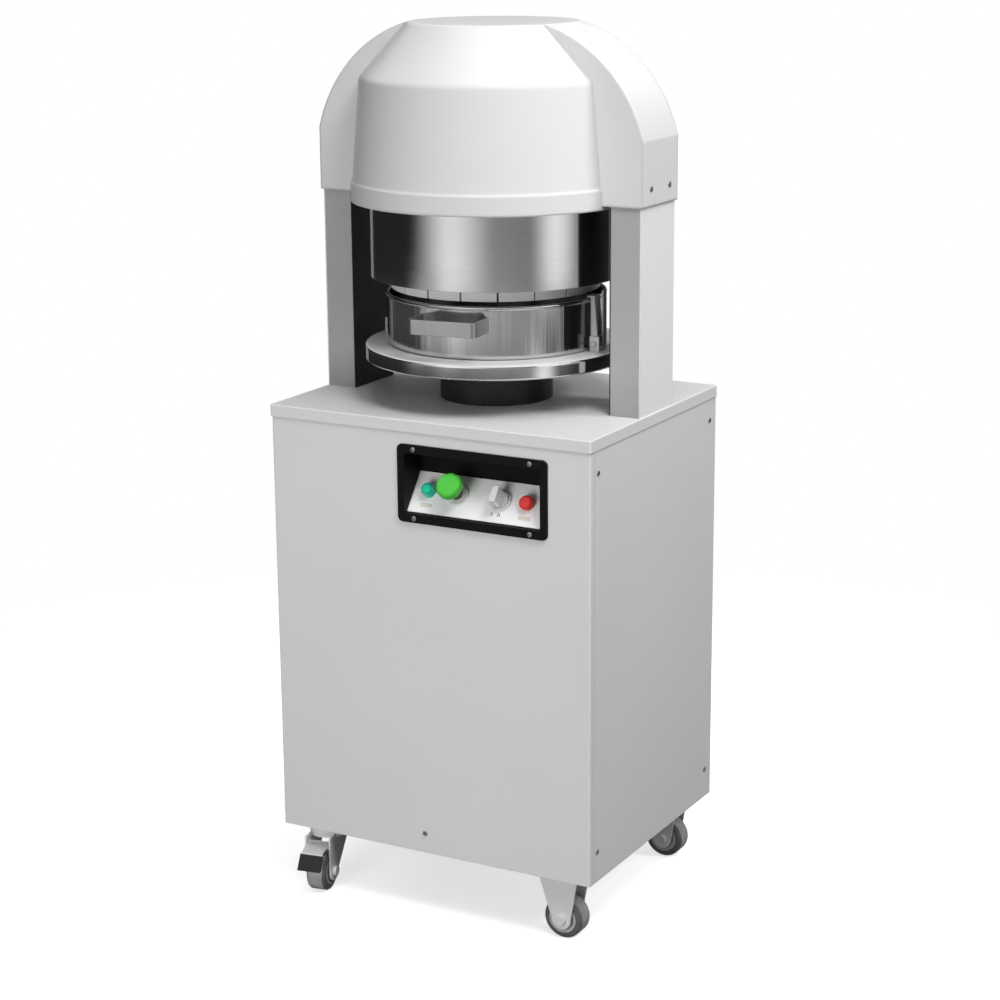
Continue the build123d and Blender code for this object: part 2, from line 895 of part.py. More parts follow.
def rack():
    """Toothed rack on the flat of the ram."""
    root = rack_flat + rack_back
    slope = math.tan(math.radians(pressure_angle))
    half = (tooth_pitch / 2 - backlash / 2) / 2
    root_half = half + dedendum * slope
    tip_half = half - addendum * slope
    bar = block(-rack_width / 2, rack_width / 2, rack_flat, root, rack_bottom, rack_top)
    tooth_face = make_face(
        Polyline(
            (0, root, -root_half),
            (0, root + dedendum + addendum, -tip_half),
            (0, root + dedendum + addendum, tip_half),
            (0, root, root_half),
            close=True,
        )
    )
    tooth = extrude(tooth_face, amount=rack_width / 2, dir=(1, 0, 0), both=True)
    first = math.ceil((rack_bottom + root_half - pinion_z) / tooth_pitch - 0.5)
    last = math.floor((rack_top - root_half - pinion_z) / tooth_pitch - 0.5)
    for index in range(first, last + 1):
        bar += Pos(0, 0, pinion_z + (index + 0.5) * tooth_pitch) * tooth
    return bar


def pinion_outline():
    """Points of the toothed outline, each flank an involute."""
    base = pitch_radius * math.cos(math.radians(pressure_angle))
    tip = pitch_radius + addendum
    root = pitch_radius - dedendum
    pitch_roll = math.sqrt((pitch_radius / base) ** 2 - 1)
    pitch_turn = pitch_roll - math.atan(pitch_roll)
    half_tooth = (tooth_pitch / 2 - backlash / 2) / 2 / pitch_radius
    flank = [(root, half_tooth + pitch_turn)]
    for step in range(flank_steps + 1):
        radius = base + (tip - base) * step / flank_steps
        roll = math.sqrt((radius / base) ** 2 - 1)
        flank.append((radius, half_tooth + pitch_turn - roll + math.atan(roll)))
    tooth = [(radius, -angle) for radius, angle in flank] + list(reversed(flank))
    points = []
    for index in range(pinion_teeth):
        turn = math.pi + 2 * math.pi * index / pinion_teeth
        points += [(r * math.cos(turn + a), r * math.sin(turn + a)) for r, a in tooth]
    return points


def pinion():
    """Drive pinion, one tooth in the middle space of the rack."""
    face = make_face(Polyline(*[(0, y, z) for y, z in pinion_outline()], close=True))
    gear = extrude(face, amount=pinion_width / 2, dir=(1, 0, 0), both=True)
    gear -= rod_x(shaft_radius + shaft_seat, -pinion_width / 2, pinion_width / 2, 0, 0)
    return Pos(0, pinion_y, pinion_z) * gear


def pinion_shaft():
    """Output shaft of the gearbox, which carries the pinion."""
    left = -pinion_width / 2 - shaft_overhang
    return rod_x(shaft_radius, left, gearbox_left + shaft_engagement, pinion_y, pinion_z)


def gearbox():
    """Worm gearbox on the shelf, with its round cover and the motor flange below."""
    right = gearbox_left + gearbox_width
    body = block(
        gearbox_left,
        right,
        pinion_y - gearbox_depth / 2,
        pinion_y + gearbox_depth / 2,
        gearbox_bottom,
        gearbox_bottom + gearbox_height,
    )
    body = fillet(body.edges().filter_by(Axis.X), gearbox_round)
    body += rod_x(gearbox_cover_radius, right, right + gearbox_cover_height, pinion_y, pinion_z)
    body += rod(motor_flange_radius, shelf_bottom, gearbox_bottom, motor_x, pinion_y)
    return body - rod_x(
        shaft_radius + shaft_fit, gearbox_left, gearbox_left + shaft_engagement, pinion_y, pinion_z
    )


def motor():
    """Flanged motor that hangs under the gearbox, with fan cowl and terminal box."""
    foot = shelf_bottom - motor_length
    body = rod(motor_flange_radius, foot, shelf_bottom, motor_x, pinion_y)
    body += rod(motor_radius, foot + motor_cowl_length, shelf_bottom - motor_cowl_wall, motor_x, pinion_y)
    cowl = rod(motor_radius + motor_cowl_wall, foot, foot + motor_cowl_length, motor_x, pinion_y)
    body += fillet(cowl.edges().group_by(Axis.Z)[0], motor_cowl_wall)
    middle = foot + motor_length / 2
    half = terminal_box_size / 2
    return body + block(
        motor_x,
        motor_x + motor_radius + terminal_box_reach,
        pinion_y - half,
        pinion_y + half,
        middle - half,
        middle + half,
    )


def table():
    """Round lifting table with a rolled edge."""
    face = section(
        [(0, table_under), (table_radius, table_under), (table_radius, table_top), (0, table_top)]
    )
    face = round_corner(face, (table_radius, table_top), table_top_round)
    face = round_corner(face, (table_radius, table_under), table_lower_round)
    return turned(face)


def pan():
    """Dough pan with a rolled rim."""
    bead_centre = (pan_inner_radius + rim_bead_radius, rim_top - rim_bead_radius)
    face = section(
        [
            (0, table_top),
            (pan_outer, table_top),
            (pan_outer, bead_centre[1]),
            (pan_inner_radius, bead_centre[1]),
            (pan_inner_radius, table_top + pan_floor),
            (0, table_top + pan_floor),
        ]
    )
    face = round_corner(face, (pan_outer, table_top), pan_corner_radius)
    face = round_corner(face, (pan_inner_radius, table_top + pan_floor), pan_corner_radius - pan_wall)
    bead = Plane.XZ * Pos(*bead_centre) * Circle(rim_bead_radius)
    return turned(face) + turned(bead)


def pan_handle():
    """Flat strap handle at the front of the pan."""
    front = -pan_outer - handle_reach
    half = handle_width / 2
    low = handle_top - handle_height
    outer = block(-half, half, front, 0, low, low + handle_height)
    outer = fillet(outer.edges().filter_by(Axis.Z).group_by(Axis.Y)[0], handle_bend)
    inner = block(
        -half + handle_sheet, half - handle_sheet, front + handle_sheet, 0, low, low + handle_height
    )
    inner = fillet(inner.edges().filter_by(Axis.Z).group_by(Axis.Y)[0], handle_bend - handle_sheet)
    strap = outer - inner - rod(pan_outer, low, low + handle_height)
    return Rot(0, 0, handle_turn) * strap


def clamp_bracket():
    """Fixed part of the right clamp: a foot, two ears for the pin and an upright at the back."""
    foot = bracket_sheet
    pivot_z = table_top + pivot_height
    body = block(bracket_inner, bracket_outer, upright_front, bracket_back, table_top, bracket_top)
    body = fillet(body.edges().filter_by(Axis.X).group_by(Axis.Z)[-1], bracket_round)
    body += block(lever_inner, bracket_outer, bracket_front, bracket_back, table_top, table_top + foot)
    ear_top = table_top + bracket_ear_height
    for y in (bracket_front, bracket_back - bracket_sheet):
        body += block(lever_inner, bracket_outer, y, y + bracket_sheet, table_top, ear_top)
    return body - rod_y(pivot_radius, bracket_front, bracket_back, pivot_place, pivot_z)


def clamp_pin():
    """Headed pivot pin of the right clamp."""
    z = table_top + pivot_height
    pin = rod_y(pivot_radius, bracket_front, bracket_back, pivot_place, z)
    for y in (bracket_front - pivot_head_height, bracket_back):
        pin += rod_y(pivot_head_radius, y, y + pivot_head_height, pivot_place, z)
    return pin


def clamp():
    """Right clamp: hook over the rim, hollow tapered lever and pivot eye."""
    front = clamp_offset - lever_width / 2
    back = clamp_offset + lever_width / 2
    pivot_z = table_top + pivot_height
    hook_bottom = rim_top + hook_gap
    hook_top = hook_bottom + hook_thickness
    outline = [
        (rim_outer - hook_reach, hook_bottom),
        (rim_outer - hook_reach, hook_top),
        (lever_outer, hook_top),
        (pivot_place + lever_eye_radius, pivot_z),
        (pivot_place - lever_eye_radius, pivot_z),
        (lever_inner, pivot_z + 2 * lever_eye_radius),
        (lever_inner, hook_bottom),
    ]
    hollow = [
        (lever_inner + lever_sheet, hook_bottom),
        (lever_outer + lever_eye_radius, hook_bottom),
        (pivot_place + 2 * lever_eye_radius, pivot_z + 2 * lever_eye_radius),
        (lever_inner + lever_sheet, pivot_z + 2 * lever_eye_radius),
    ]
    body = prism_y(outline, front, back)
    body -= prism_y(hollow, front + lever_sheet, back - lever_sheet)
    body += rod_y(lever_eye_radius, front, back, pivot_place, pivot_z)
    return body - rod_y(pivot_radius + pivot_fit, front, back, pivot_place, pivot_z)


def control_bezel():
    """Black frame round the control recess."""
    seat = Plane(origin=(bezel_offset, cabinet_front, bezel_z), x_dir=(1, 0, 0), z_dir=(0, -1, 0))
    face = RectangleRounded(bezel_width, bezel_height, bezel_corner)
    face -= RectangleRounded(2 * opening_half_width, 2 * opening_half_height, bezel_inner_corner)
    frame = extrude(seat * face, amount=bezel_thickness)
    return drill(frame, bezel_screw_places())


def control_box():
    """Black tray of the recess behind the bezel."""
    x, z, t = opening_half_width, opening_half_height, recess_sheet
    back = cabinet_front + recess_depth
    tray = block(
        bezel_offset - x - t, bezel_offset + x + t, cabinet_front, back + t, bezel_z - z - t, bezel_z + z + t
    )
    return tray - block(bezel_offset - x, bezel_offset + x, cabinet_front, back, bezel_z - z, bezel_z + z)


def control_panel():
    """White console plate that slopes across the recess."""
    width = 2 * (opening_half_width - console_fit)
    plate = Pos(0, 0, -console_sheet / 2) * Box(width, console_length, console_sheet)
    for x in button_places.values():
        plate -= Pos(x, button_rise, -console_sheet / 2) * Cylinder(button_radius + button_fit, console_sheet)
    return console_plane * plate


def on_console(name, piece):
    """Set a piece on the console plate at its place."""
    return console_plane * (Pos(button_places[name], button_rise, 0) * piece)


def upright(radius, foot, head):
    """Cylinder between two heights over the console plate."""
    return Pos(0, 0, (foot + head) / 2) * Cylinder(radius, head - foot)


def button_collars():
    """Collars round the start button and the selector."""
    ring = upright(collar_radius, 0, collar_height)
    ring = fillet(ring.edges().group_by(Axis.Z)[-1], collar_round)
    ring -= upright(button_radius + button_fit, 0, collar_height)
    return group(on_console(name, ring) for name in ("start_button", "selector_knob"))


def cap(radius, foot, height, edge_round):
    """Domed cap over the console plate, on a stem through it."""
    head = upright(radius, foot, foot + height)
    head = fillet(head.edges().group_by(Axis.Z)[-1], edge_round)
    return head + upright(button_radius, -button_tail, foot)


def power_lamp():
    """Pilot lamp with a domed lens on the console plate."""
    return on_console("power_lamp", cap(lamp_radius, 0, lamp_rise, lamp_round))


def start_button():
    """Mushroom button that starts the cycle."""
    foot = collar_height + start_cap_gap
    return on_console("start_button", cap(start_cap_radius, foot, start_cap_height, start_cap_round))


def stop_button():
    """Button that stops the cycle."""
    return on_console("stop_button", cap(stop_cap_radius, stop_cap_gap, stop_cap_height, stop_round))


def selector_knob():
    """Selector with a raised grip bar."""
    foot = collar_height + selector_gap
    body = upright(button_radius, -button_tail, foot)
    body += upright(selector_radius, foot, foot + selector_base_height)
    bar_foot = foot + selector_base_height
    bar = Pos(0, 0, bar_foot + selector_bar_height / 2) * Box(
        selector_bar_width, selector_bar_length, selector_bar_height
    )
    return on_console("selector_knob", body + fillet(bar.edges().filter_by(Axis.Z), selector_round))


def electrical_box():
    """Steel box for contactors on the floor of the cabinet, with a lid."""
    x, y = electric_place_x, electric_place_y
    foot = base_level + frame_thickness
    half_w, half_d = electric_width / 2, electric_depth / 2
    box = block(x - half_w, x + half_w, y - half_d, y + half_d, foot, foot + electric_height)
    rim = electric_lid_rim
    lid = block(
        x - half_w + rim,
        x + half_w - rim,
        y - half_d - electric_lid,
        y - half_d,
        foot + rim,
        foot + electric_height - rim,
    )
    return box + lid


def cable_gland():
    """Cable entry in the back panel."""
    back = cabinet_half_depth
    x, z = gland_place_x, base_level + gland_height
    seat = Plane(origin=(x, back, z), x_dir=(1, 0, 0), z_dir=(0, 1, 0))
    nut = extrude(seat * RegularPolygon(gland_radius, 6), amount=gland_nut_height)
    body = rod_y(gland_body_radius - gland_fit, back - gland_body_length, back, x, z)
    dome_end = rod_y(gland_body_radius, back + gland_nut_height, back + gland_body_length, x, z)
    end = back + gland_body_length
    return nut + body + dome_end - rod_y(gland_bore, back - gland_body_length, end, x, z)


def caster_plate(x, y):
    """Mounting plate of a caster under the frame."""
    half_l, half_w = caster_plate_length / 2, caster_plate_width / 2
    low = base_level - caster_plate_thickness
    return block(x - half_l, x + half_l, y - half_w, y + half_w, low, base_level)


def fork_legs(outline, eye_x):
    """Two fork legs with round ends and the axle bolt through them."""
    near = wheel_width / 2 + fork_side_gap
    legs = None
    for y in (-near - fork_sheet, near):
        leg = prism_y(outline, y, y + fork_sheet)
        leg += rod_y(fork_eye_radius, y, y + fork_sheet, eye_x, wheel_radius)
        legs = leg if legs is None else legs + leg
    legs += rod_y(axle_radius, -near, near, eye_x, wheel_radius)
    for y in (-near - fork_sheet - axle_head_height, near + fork_sheet):
        legs += rod_y(axle_head_radius, y, y + axle_head_height, eye_x, wheel_radius)
    return legs


def fixed_fork(y):
    """Fixed caster housing at the right: plate, tapered legs and axle bolt."""
    top = base_level - caster_plate_thickness
    eye = fork_eye_radius
    outline = [(-fork_left_reach, top), (fork_right_reach, top), (eye, wheel_radius), (-eye, wheel_radius)]
    legs = Pos(caster_spread_x, y, 0) * fork_legs(outline, 0)
    return caster_plate(caster_spread_x, y) + legs


def swivel_plates():
    """Plates with the upper bearing race of the swivelling casters."""
    pieces = []
    low = base_level - caster_plate_thickness
    for y in (-caster_spread_y, caster_spread_y):
        plate = caster_plate(-caster_spread_x, y)
        plate += rod(race_radius, low - race_height, low, -caster_spread_x, y)
        bore = rod(kingpin_radius + kingpin_fit, low - race_height, base_level, -caster_spread_x, y)
        pieces.append(plate - bore)
    return group(pieces)


def caster_place(name):
    """Axis of a caster on the floor, turned to its trailing direction."""
    x = caster_spread_x if name.endswith("right") else -caster_spread_x
    y = -caster_spread_y if name.startswith("front") else caster_spread_y
    return Pos(x, y, 0) * Rot(0, 0, swivel_angles.get(name, 0))


def crown_levels():
    """Under side and top of the fork crown."""
    top = base_level - caster_plate_thickness - race_height - race_gap
    return top - crown_thickness, top


def swivel_fork(name):
    """Swivelling fork with kingpin, trailing legs and the pin of its pedal."""
    low, top = crown_levels()
    near = wheel_width / 2 + fork_side_gap
    outline = [
        (-fork_heel, top),
        (fork_toe, top),
        (fork_toe, low - fork_toe_drop),
        (trail + fork_eye_radius, wheel_radius),
        (trail - fork_eye_radius, wheel_radius),
        (-fork_heel, low - fork_toe_drop),
    ]
    fork = rod(race_radius, low, top) + fork_legs(outline, trail)
    fork += rod(kingpin_radius, low, base_level - race_gap)
    fork += rod_y(pedal_pin_radius, -near, near, pedal_pin_place, low - pedal_pin_drop)
    return caster_place(name) * fork


def wheel(name):
    """Caster wheel: rounded tyre, recessed hub and bore."""
    half = wheel_width / 2
    offset = trail if name in swivel_angles else 0
    face = make_face(
        Polyline(
            (axle_radius + axle_fit, half),
            (hub_boss_radius, half),
            (hub_boss_radius, half - hub_recess),
            (hub_radius, half - hub_recess),
            (hub_radius, half),
            (wheel_radius, half),
            (wheel_radius, -half),
            (hub_radius, -half),
            (hub_radius, -half + hub_recess),
            (hub_boss_radius, -half + hub_recess),
            (hub_boss_radius, -half),
            (axle_radius + axle_fit, -half),
            close=True,
        )
    )
    tread = [v for v in face.vertices() if v.X > wheel_radius - axle_fit]
    face = fillet(tread, tread_round)
    body = revolve(face, Axis.Y)
    return caster_place(name) * (Pos(offset, 0, wheel_radius) * body)


def pedal(name):
    """Brake pedal: barrel on the pin, arm over the wheel and tread plate in front."""
    low, top = crown_levels()
    pin_z = low - pedal_pin_drop
    half = wheel_width / 2 + fork_side_gap - pedal_side_gap
    end_x = pedal_pin_place + pedal_reach
    knee_x = end_x - pedal_tread / 2
    knee_z = pin_z - pedal_fall
    arm = [
        (pedal_pin_place, pin_z + pedal_barrel_radius),
        (pedal_pin_place, pin_z + pedal_barrel_radius - pedal_sheet),
        (knee_x, knee_z),
        (knee_x, knee_z + pedal_sheet),
    ]
    tread = [
        (knee_x, knee_z),
        (knee_x, knee_z + pedal_sheet),
        (end_x + pedal_sheet, pin_z - pedal_drop),
        (end_x, pin_z - pedal_drop),
    ]
    body = prism_y(arm, -half, half) + rod_y(pedal_barrel_radius, -half, half, pedal_pin_place, pin_z)
    body += prism_y(tread, -pedal_width / 2, pedal_width / 2)
    body -= rod_y(pedal_pin_radius + pedal_pin_fit, -half, half, pedal_pin_place, pin_z)
    return caster_place(name) * body


pieces = {
    "base_frame": base_frame(),
    "front_panel": front_panel(),
    "left_panel": side_panel(-1),
    "right_panel": side_panel(1),
    "back_panel": back_panel(),
    "top_plate": top_plate(),
    "cover_screws": cover_screws(),
    "left_column": mirrored(column()),
    "right_column": column(),
    "left_column_cover": mirrored(column_cover()),
    "right_column_cover": column_cover(),
    "left_column_liner": mirrored(column_liner()),
    "right_column_liner": column_liner(),
    "hood": hood(),
    "head_beam": head_beam(),
    "head_sleeve": head_sleeve(),
    "knife_grid": knife_grid(),
    "knife_carrier": knife_carrier(),
    "press_blocks": press_blocks(),
    "press_plate": press_plate(),
    "press_posts": press_posts(),
    "knife_cylinders": knife_cylinders(),
    "knife_plungers": knife_plungers(),
    "guide_housing": guide_housing(),
    "ram_bushes": ram_bushes(),
    "ram": ram(),
    "rack": rack(),
    "pinion": pinion(),
    "pinion_shaft": pinion_shaft(),
    "gearbox": gearbox(),
    "motor": motor(),
    "table": table(),
    "pan": pan(),
    "pan_handle": pan_handle(),
    "left_clamp_bracket": mirrored(clamp_bracket()),
    "right_clamp_bracket": clamp_bracket(),
    "clamp_pins": group([clamp_pin(), mirrored(clamp_pin())]),
    "left_clamp": mirrored(clamp()),
    "right_clamp": clamp(),
    "control_bezel": control_bezel(),
    "control_box": control_box(),
    "control_panel": control_panel(),
    "button_collars": button_collars(),
    "power_lamp": power_lamp(),
    "start_button": start_button(),
    "stop_button": stop_button(),
    "selector_knob": selector_knob(),
    "electrical_box": electrical_box(),
    "cable_gland": cable_gland(),
    "swivel_plates": swivel_plates(),
    "front_right_fork": fixed_fork(-caster_spread_y),
    "rear_right_fork": fixed_fork(caster_spread_y),
}
for corner in ("front_left", "rear_left"):
    pieces[corner + "_fork"] = swivel_fork(corner)
    pieces[corner + "_pedal"] = pedal(corner)
for corner in ("front_left", "front_right", "rear_left", "rear_right"):
    pieces[corner + "_wheel"] = wheel(corner)

os.makedirs("parts", exist_ok=True)
for name, piece in pieces.items():
    export_step(piece, f"parts/{name}.step")
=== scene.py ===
import json
import math

import bmesh
import bpy
from bpy.props import FloatProperty, FloatVectorProperty, PointerProperty
from mathutils import Matrix, Vector


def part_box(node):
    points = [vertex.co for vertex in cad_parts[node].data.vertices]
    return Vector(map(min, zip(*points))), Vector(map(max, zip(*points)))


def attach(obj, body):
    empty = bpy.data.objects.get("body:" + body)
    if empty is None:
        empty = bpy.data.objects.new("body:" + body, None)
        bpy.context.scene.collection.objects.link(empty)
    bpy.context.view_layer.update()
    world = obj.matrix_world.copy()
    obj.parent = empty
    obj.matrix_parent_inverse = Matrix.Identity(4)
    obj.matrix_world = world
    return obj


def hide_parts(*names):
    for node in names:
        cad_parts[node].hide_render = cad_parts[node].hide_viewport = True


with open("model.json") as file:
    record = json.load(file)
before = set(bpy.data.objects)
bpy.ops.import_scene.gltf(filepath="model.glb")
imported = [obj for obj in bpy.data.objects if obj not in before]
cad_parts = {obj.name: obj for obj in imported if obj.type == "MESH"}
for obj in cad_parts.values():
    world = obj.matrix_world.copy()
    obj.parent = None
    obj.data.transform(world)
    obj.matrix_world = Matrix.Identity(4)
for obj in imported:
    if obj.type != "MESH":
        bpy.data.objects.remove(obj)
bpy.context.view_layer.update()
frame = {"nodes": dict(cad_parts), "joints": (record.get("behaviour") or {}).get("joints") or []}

bl_info = {
    "name": "Dough divider dressing",
    "version": (1, 0, 0),
    "blender": (4, 5, 0),
    "location": "3D View > Sidebar > Divider",
    "description": "Finishes and small details of a floor-standing dough divider",
    "category": "Object",
}

NODES = frame["nodes"]
JOINTS = {joint["name"]: joint for joint in frame["joints"]}
PLATE_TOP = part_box("top_plate")[1][2]

# The right casters don't swivel, so the width of their wheels lies along Y
WHEEL_LOW, WHEEL_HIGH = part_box("front_right_wheel")
WHEEL_WIDTH = WHEEL_HIGH[1] - WHEEL_LOW[1]

# Outward direction of the sloped console, and the distance of its face along that direction
CONSOLE_OUT = -Vector(JOINTS["start_press"]["axis"]).normalized()
CONSOLE_FACE = max(CONSOLE_OUT.dot(vert.co) for vert in NODES["control_panel"].data.vertices)

# Middle range of a noise, which the materials spread over a range of their own
NOISE_RANGE = (0.3, 0.7)
BEVEL_SAMPLES = 6

# Facets, and the angles past which an edge stays sharp
TYRE_STEPS = 96
HUB_STEPS = 72
SCREW_STEPS = 24
CORNER_STEPS = 5
SHARP_EDGE = math.radians(35)
SHARP_SCREW_EDGE = math.radians(30)

# Screw head: shares of its radius and height from the seat up, and its cross recess
SCREW_PROFILE = ((1.0, 0.0), (1.0, 0.45), (0.9, 0.78), (0.72, 0.95))
RECESS_REACH = 0.55
RECESS_TAPER = 0.8
SCREW_SEED = 7
SCREW_TOLERANCE = 1e-4
MERGE_DISTANCE = 1e-6

# Depths below the table's top between which its bright edge goes over to the matt face
TABLE_PASSAGE = (0.003, 0.0004)

# A face of a tyre belongs to its tread where its normal leans less than this along the axle; the
# tread's lighter rubber is painted light and sheen
TREAD_LEAN = 0.3

# Lamps: name, setting of the level, place, target and size in metres
LAMPS = (
    ("Key lamp", "key", (1.9, -1.3, 3.6), (0, 0, 1.0), 1.2),
    ("Front lamp", "front", (-0.1, -2.2, 0.55), (0, 0, 0.55), 1.0),
    ("Side lamp", "side", (2.8, 0.4, 2.5), (0, 0, 1.1), 0.7),
    ("Top lamp", "top", (0.5, -0.7, 4.2), (0, 0, 1.0), 1.6),
    ("Back lamp", "back", (-1.9, 2.6, 0.7), (0, 0, 0.7), 1.4),
)

# Levels of the round screen, whose glow paints the reflections on the steel, over the angle from
# the front in degrees, at the heights that the sleeve, the pan and the table's edge mirror, and
# of a painted highlight band at the right
SLEEVE_REFLECTION_LEVELS = (
    (-180, 0.8), (-160, 0.04), (-118, 0.02), (-52, 0.02), (-8, 1.06), (32, 0.3), (57, 0.26),
    (118, 0.08), (156, 0.08), (180, 0.8),
)
PAN_REFLECTION_LEVELS = (
    (-180, 0.8), (-160, 0.03), (-60, 0.08), (-42, 0.75), (-30, 0.5), (-14, 1.0), (4, 0.6),
    (33, 0.53), (76, 0.24), (113, 0.09), (156, 0.06), (180, 0.8),
)
EDGE_REFLECTION_LEVELS = (
    (-60, 0.02), (-10, 0.08), (40, 0.16), (55, 0.24), (69, 1.0), (84, 0.1), (100, 0.02),
)
SIDE_HIGHLIGHT_LEVELS = ((57, 0.0), (83, 0.95), (116, 0.0))

# Heights on the screen between which one set of levels goes over to the next
EDGE_TO_PAN = (0.476, 0.49)
PAN_TO_SLEEVE = (0.62, 0.66)
SIDE_START = (0.6, 0.68)

# Sizes of the screen, the floor and the camera
SCREEN_RADIUS = 2.6
SCREEN_FOOT = 0.005
SCREEN_TOP = 2.4
SCREEN_STEPS = 96
FLOOR_REACH = 60.0
SENSOR_WIDTH = 36.0
CLIP_END = 200.0

WHITE = (1, 1, 1, 1)


def size_prop(name, description, default):
    """A length in metres."""
    return FloatProperty(
        name=name, description=description, default=default, unit="LENGTH", precision=4
    )


def plain_prop(name, description, default):
    """A number without a unit."""
    return FloatProperty(name=name, description=description, default=default)


def colour_prop(name, description, default):
    """A linear colour."""
    return FloatVectorProperty(
        name=name, description=description, default=default, size=3, subtype="COLOR"
    )


class DividerFinish(bpy.types.PropertyGroup):
    """Colours of the finishes."""

    cabinet: colour_prop("Cabinet", "Light grey paint of the cabinet", (0.72, 0.72, 0.725))
    column: colour_prop("Columns", "Mid grey paint of the columns", (0.43, 0.43, 0.435))
    cover: colour_prop("Column covers", "Light grey paint of the covers", (0.84, 0.84, 0.84))
    # Black of the liners is partly painted shade on the columns' inner faces; the guide's black
    # is its own
    liner: colour_prop("Liners", "Black paint and painted shade of liners and guide", (0.018, 0.018, 0.0185))
    frame: colour_prop("Frame", "Dark grey paint of the frame inside", (0.16, 0.165, 0.17))
    hood: colour_prop("Hood", "White of the moulded hood", (0.72, 0.72, 0.725))
    steel: colour_prop("Stainless", "Polished steel of sleeve and pan", (0.66, 0.66, 0.655))
    table: colour_prop("Table", "Turned steel of the lifting table", (0.8, 0.8, 0.795))
    satin: colour_prop("Satin steel", "Steel of handle and clamps", (0.58, 0.58, 0.575))
    pin: colour_prop("Pins", "Steel of the clamp pins", (0.5, 0.5, 0.5))
    ground: colour_prop("Ground steel", "Steel of knives, posts and ram", (0.45, 0.45, 0.46))
    block: colour_prop("Press blocks", "White plastic of the press blocks", (0.82, 0.82, 0.8))
    plate: colour_prop("Press plate", "Aluminium of the press plate", (0.62, 0.62, 0.63))
    gear: colour_prop("Gears", "Steel of rack, pinion and shaft", (0.33, 0.33, 0.34))
    bush: colour_prop("Bushes", "Bronze of the ram bushes", (0.5, 0.3, 0.12))
    gearbox: colour_prop("Gearbox", "Bare casting of the gearbox", (0.42, 0.43, 0.44))
    motor: colour_prop("Motor", "Dark blue paint of the motor", (0.05, 0.09, 0.14))
    black: colour_prop("Controls", "Black plastic of the controls", (0.008, 0.008, 0.0085))
    console: colour_prop("Console", "White paint of the console", (0.95, 0.95, 0.95))
    collar: colour_prop("Collars", "Chrome of the button collars", (0.8, 0.8, 0.79))
    green: colour_prop("Start button", "Green of the start button", (0.07, 0.54, 0.045))
    # Near-black of the stem: partly the stem's own colour, partly painted shade under the green
    # cap
    stem: colour_prop("Button stem", "Near-black of the start button's stem, partly painted shade", (0.06, 0.055, 0.05))
    teal: colour_prop("Pilot lamp", "Teal of the pilot lamp", (0.0, 0.55, 0.34))
    red: colour_prop("Stop button", "Red of the stop button", (0.75, 0.03, 0.025))
    silver: colour_prop("Selector", "Silver of the selector", (0.72, 0.72, 0.72))
    label: colour_prop("Labels", "Ochre of the label plates", (0.74, 0.7, 0.62))
    ink: colour_prop("Marks", "Grey of the position marks", (0.12, 0.12, 0.12))
    screw: colour_prop("Screws", "Steel of the cover screws", (0.55, 0.55, 0.55))
    zinc: colour_prop("Zinc", "Zinc plate of forks and pedals", (0.88, 0.88, 0.89))
    tyre: colour_prop("Tyre sides", "Dark rubber of the tyres' sides", (0.13, 0.13, 0.132))
    # Tyre tread: lighter grey than the sides, painted light and sheen on the tread
    tread: colour_prop("Tyre tread sheen", "Rubber of the tyres' tread, lighter for painted sheen", (0.38, 0.38, 0.385))
    hub: colour_prop("Hubs", "Grey plastic of the hubs", (0.5, 0.5, 0.5))


class DividerScrews(bpy.types.PropertyGroup):
    """Sizes of the cover screws."""

    head_radius: size_prop("Head radius", "Radius of a screw head", 0.0046)
    head_height: size_prop("Head height", "Height of a screw head over its seat", 0.0024)
    recess_width: size_prop("Recess width", "Width of the cross recess", 0.0011)
    recess_depth: size_prop("Recess depth", "Depth of the cross recess", 0.0013)


class DividerWheels(bpy.types.PropertyGroup):
    """Sizes of the caster wheels and the brake pedals."""

    hub_share: plain_prop("Hub share", "Radius of the hub as a share of the wheel's", 0.7)
    side_draft: size_prop("Side draft", "Slope of the tyre's side", 0.001)
    tread_round: size_prop("Tread round", "Rounding of the tread's edges", 0.005)
    round_in: size_prop("Round inset", "Middle of the rounding from the side", 0.0025)
    round_drop: size_prop("Round drop", "Middle of the rounding below the tread", 0.002)
    bore: size_prop("Bore", "Radius of the hub's bore", 0.0052)
    boss: size_prop("Boss", "Radius of the hub's boss", 0.0095)
    boss_draft: size_prop("Boss draft", "Slope of the boss", 0.001)
    dish: size_prop("Dish", "Depth of the dish round the boss", 0.0035)
    rim_foot: size_prop("Rim foot", "Inner foot of the rim from the hub's edge", 0.006)
    rim_shoulder: size_prop("Rim shoulder", "Shoulder of the rim from the hub's edge", 0.0045)
    rim_step: size_prop("Rim step", "Shoulder of the rim below the tyre's side", 0.0005)
    lip: size_prop("Hub lip", "Width of the raised ring at the edge of the hub", 0.0025)
    lip_height: size_prop("Lip height", "Height of that ring over the tyre's side", 0.0002)
    tread_share: plain_prop("Pedal tread", "Height of the black tread on a pedal", 0.66)
    pedal_seam: size_prop("Pedal seam", "Half the passage from tread to arm", 0.0004)


class DividerMarks(bpy.types.PropertyGroup):
    """Sizes of the labels and marks on the console."""

    label_width: size_prop("Label width", "Width of a label plate", 0.022)
    label_height: size_prop("Label height", "Height of a label plate", 0.007)
    label_corner: size_prop("Label corner", "Corner radius of a label plate", 0.0015)
    bar_width: size_prop("Bar width", "Width of a bar of a position mark", 0.0014)
    bar_height: size_prop("Bar height", "Height of a bar of a position mark", 0.006)
    bar_gap: size_prop("Bar gap", "Distance between the bars of a double mark", 0.003)
    mark_spread: size_prop("Mark spread", "Half the distance between the two marks", 0.0064)
    mark_shift: size_prop("Mark shift", "Middle of the marks from the selector's axis", -0.003)
    drop: size_prop("Drop", "Distance of labels and marks below the buttons", 0.0235)
    thickness: size_prop("Thickness", "Thickness of labels and marks", 0.0004)
    stem: size_prop("Stem", "Length of the start button's stem over the console", 0.0265)


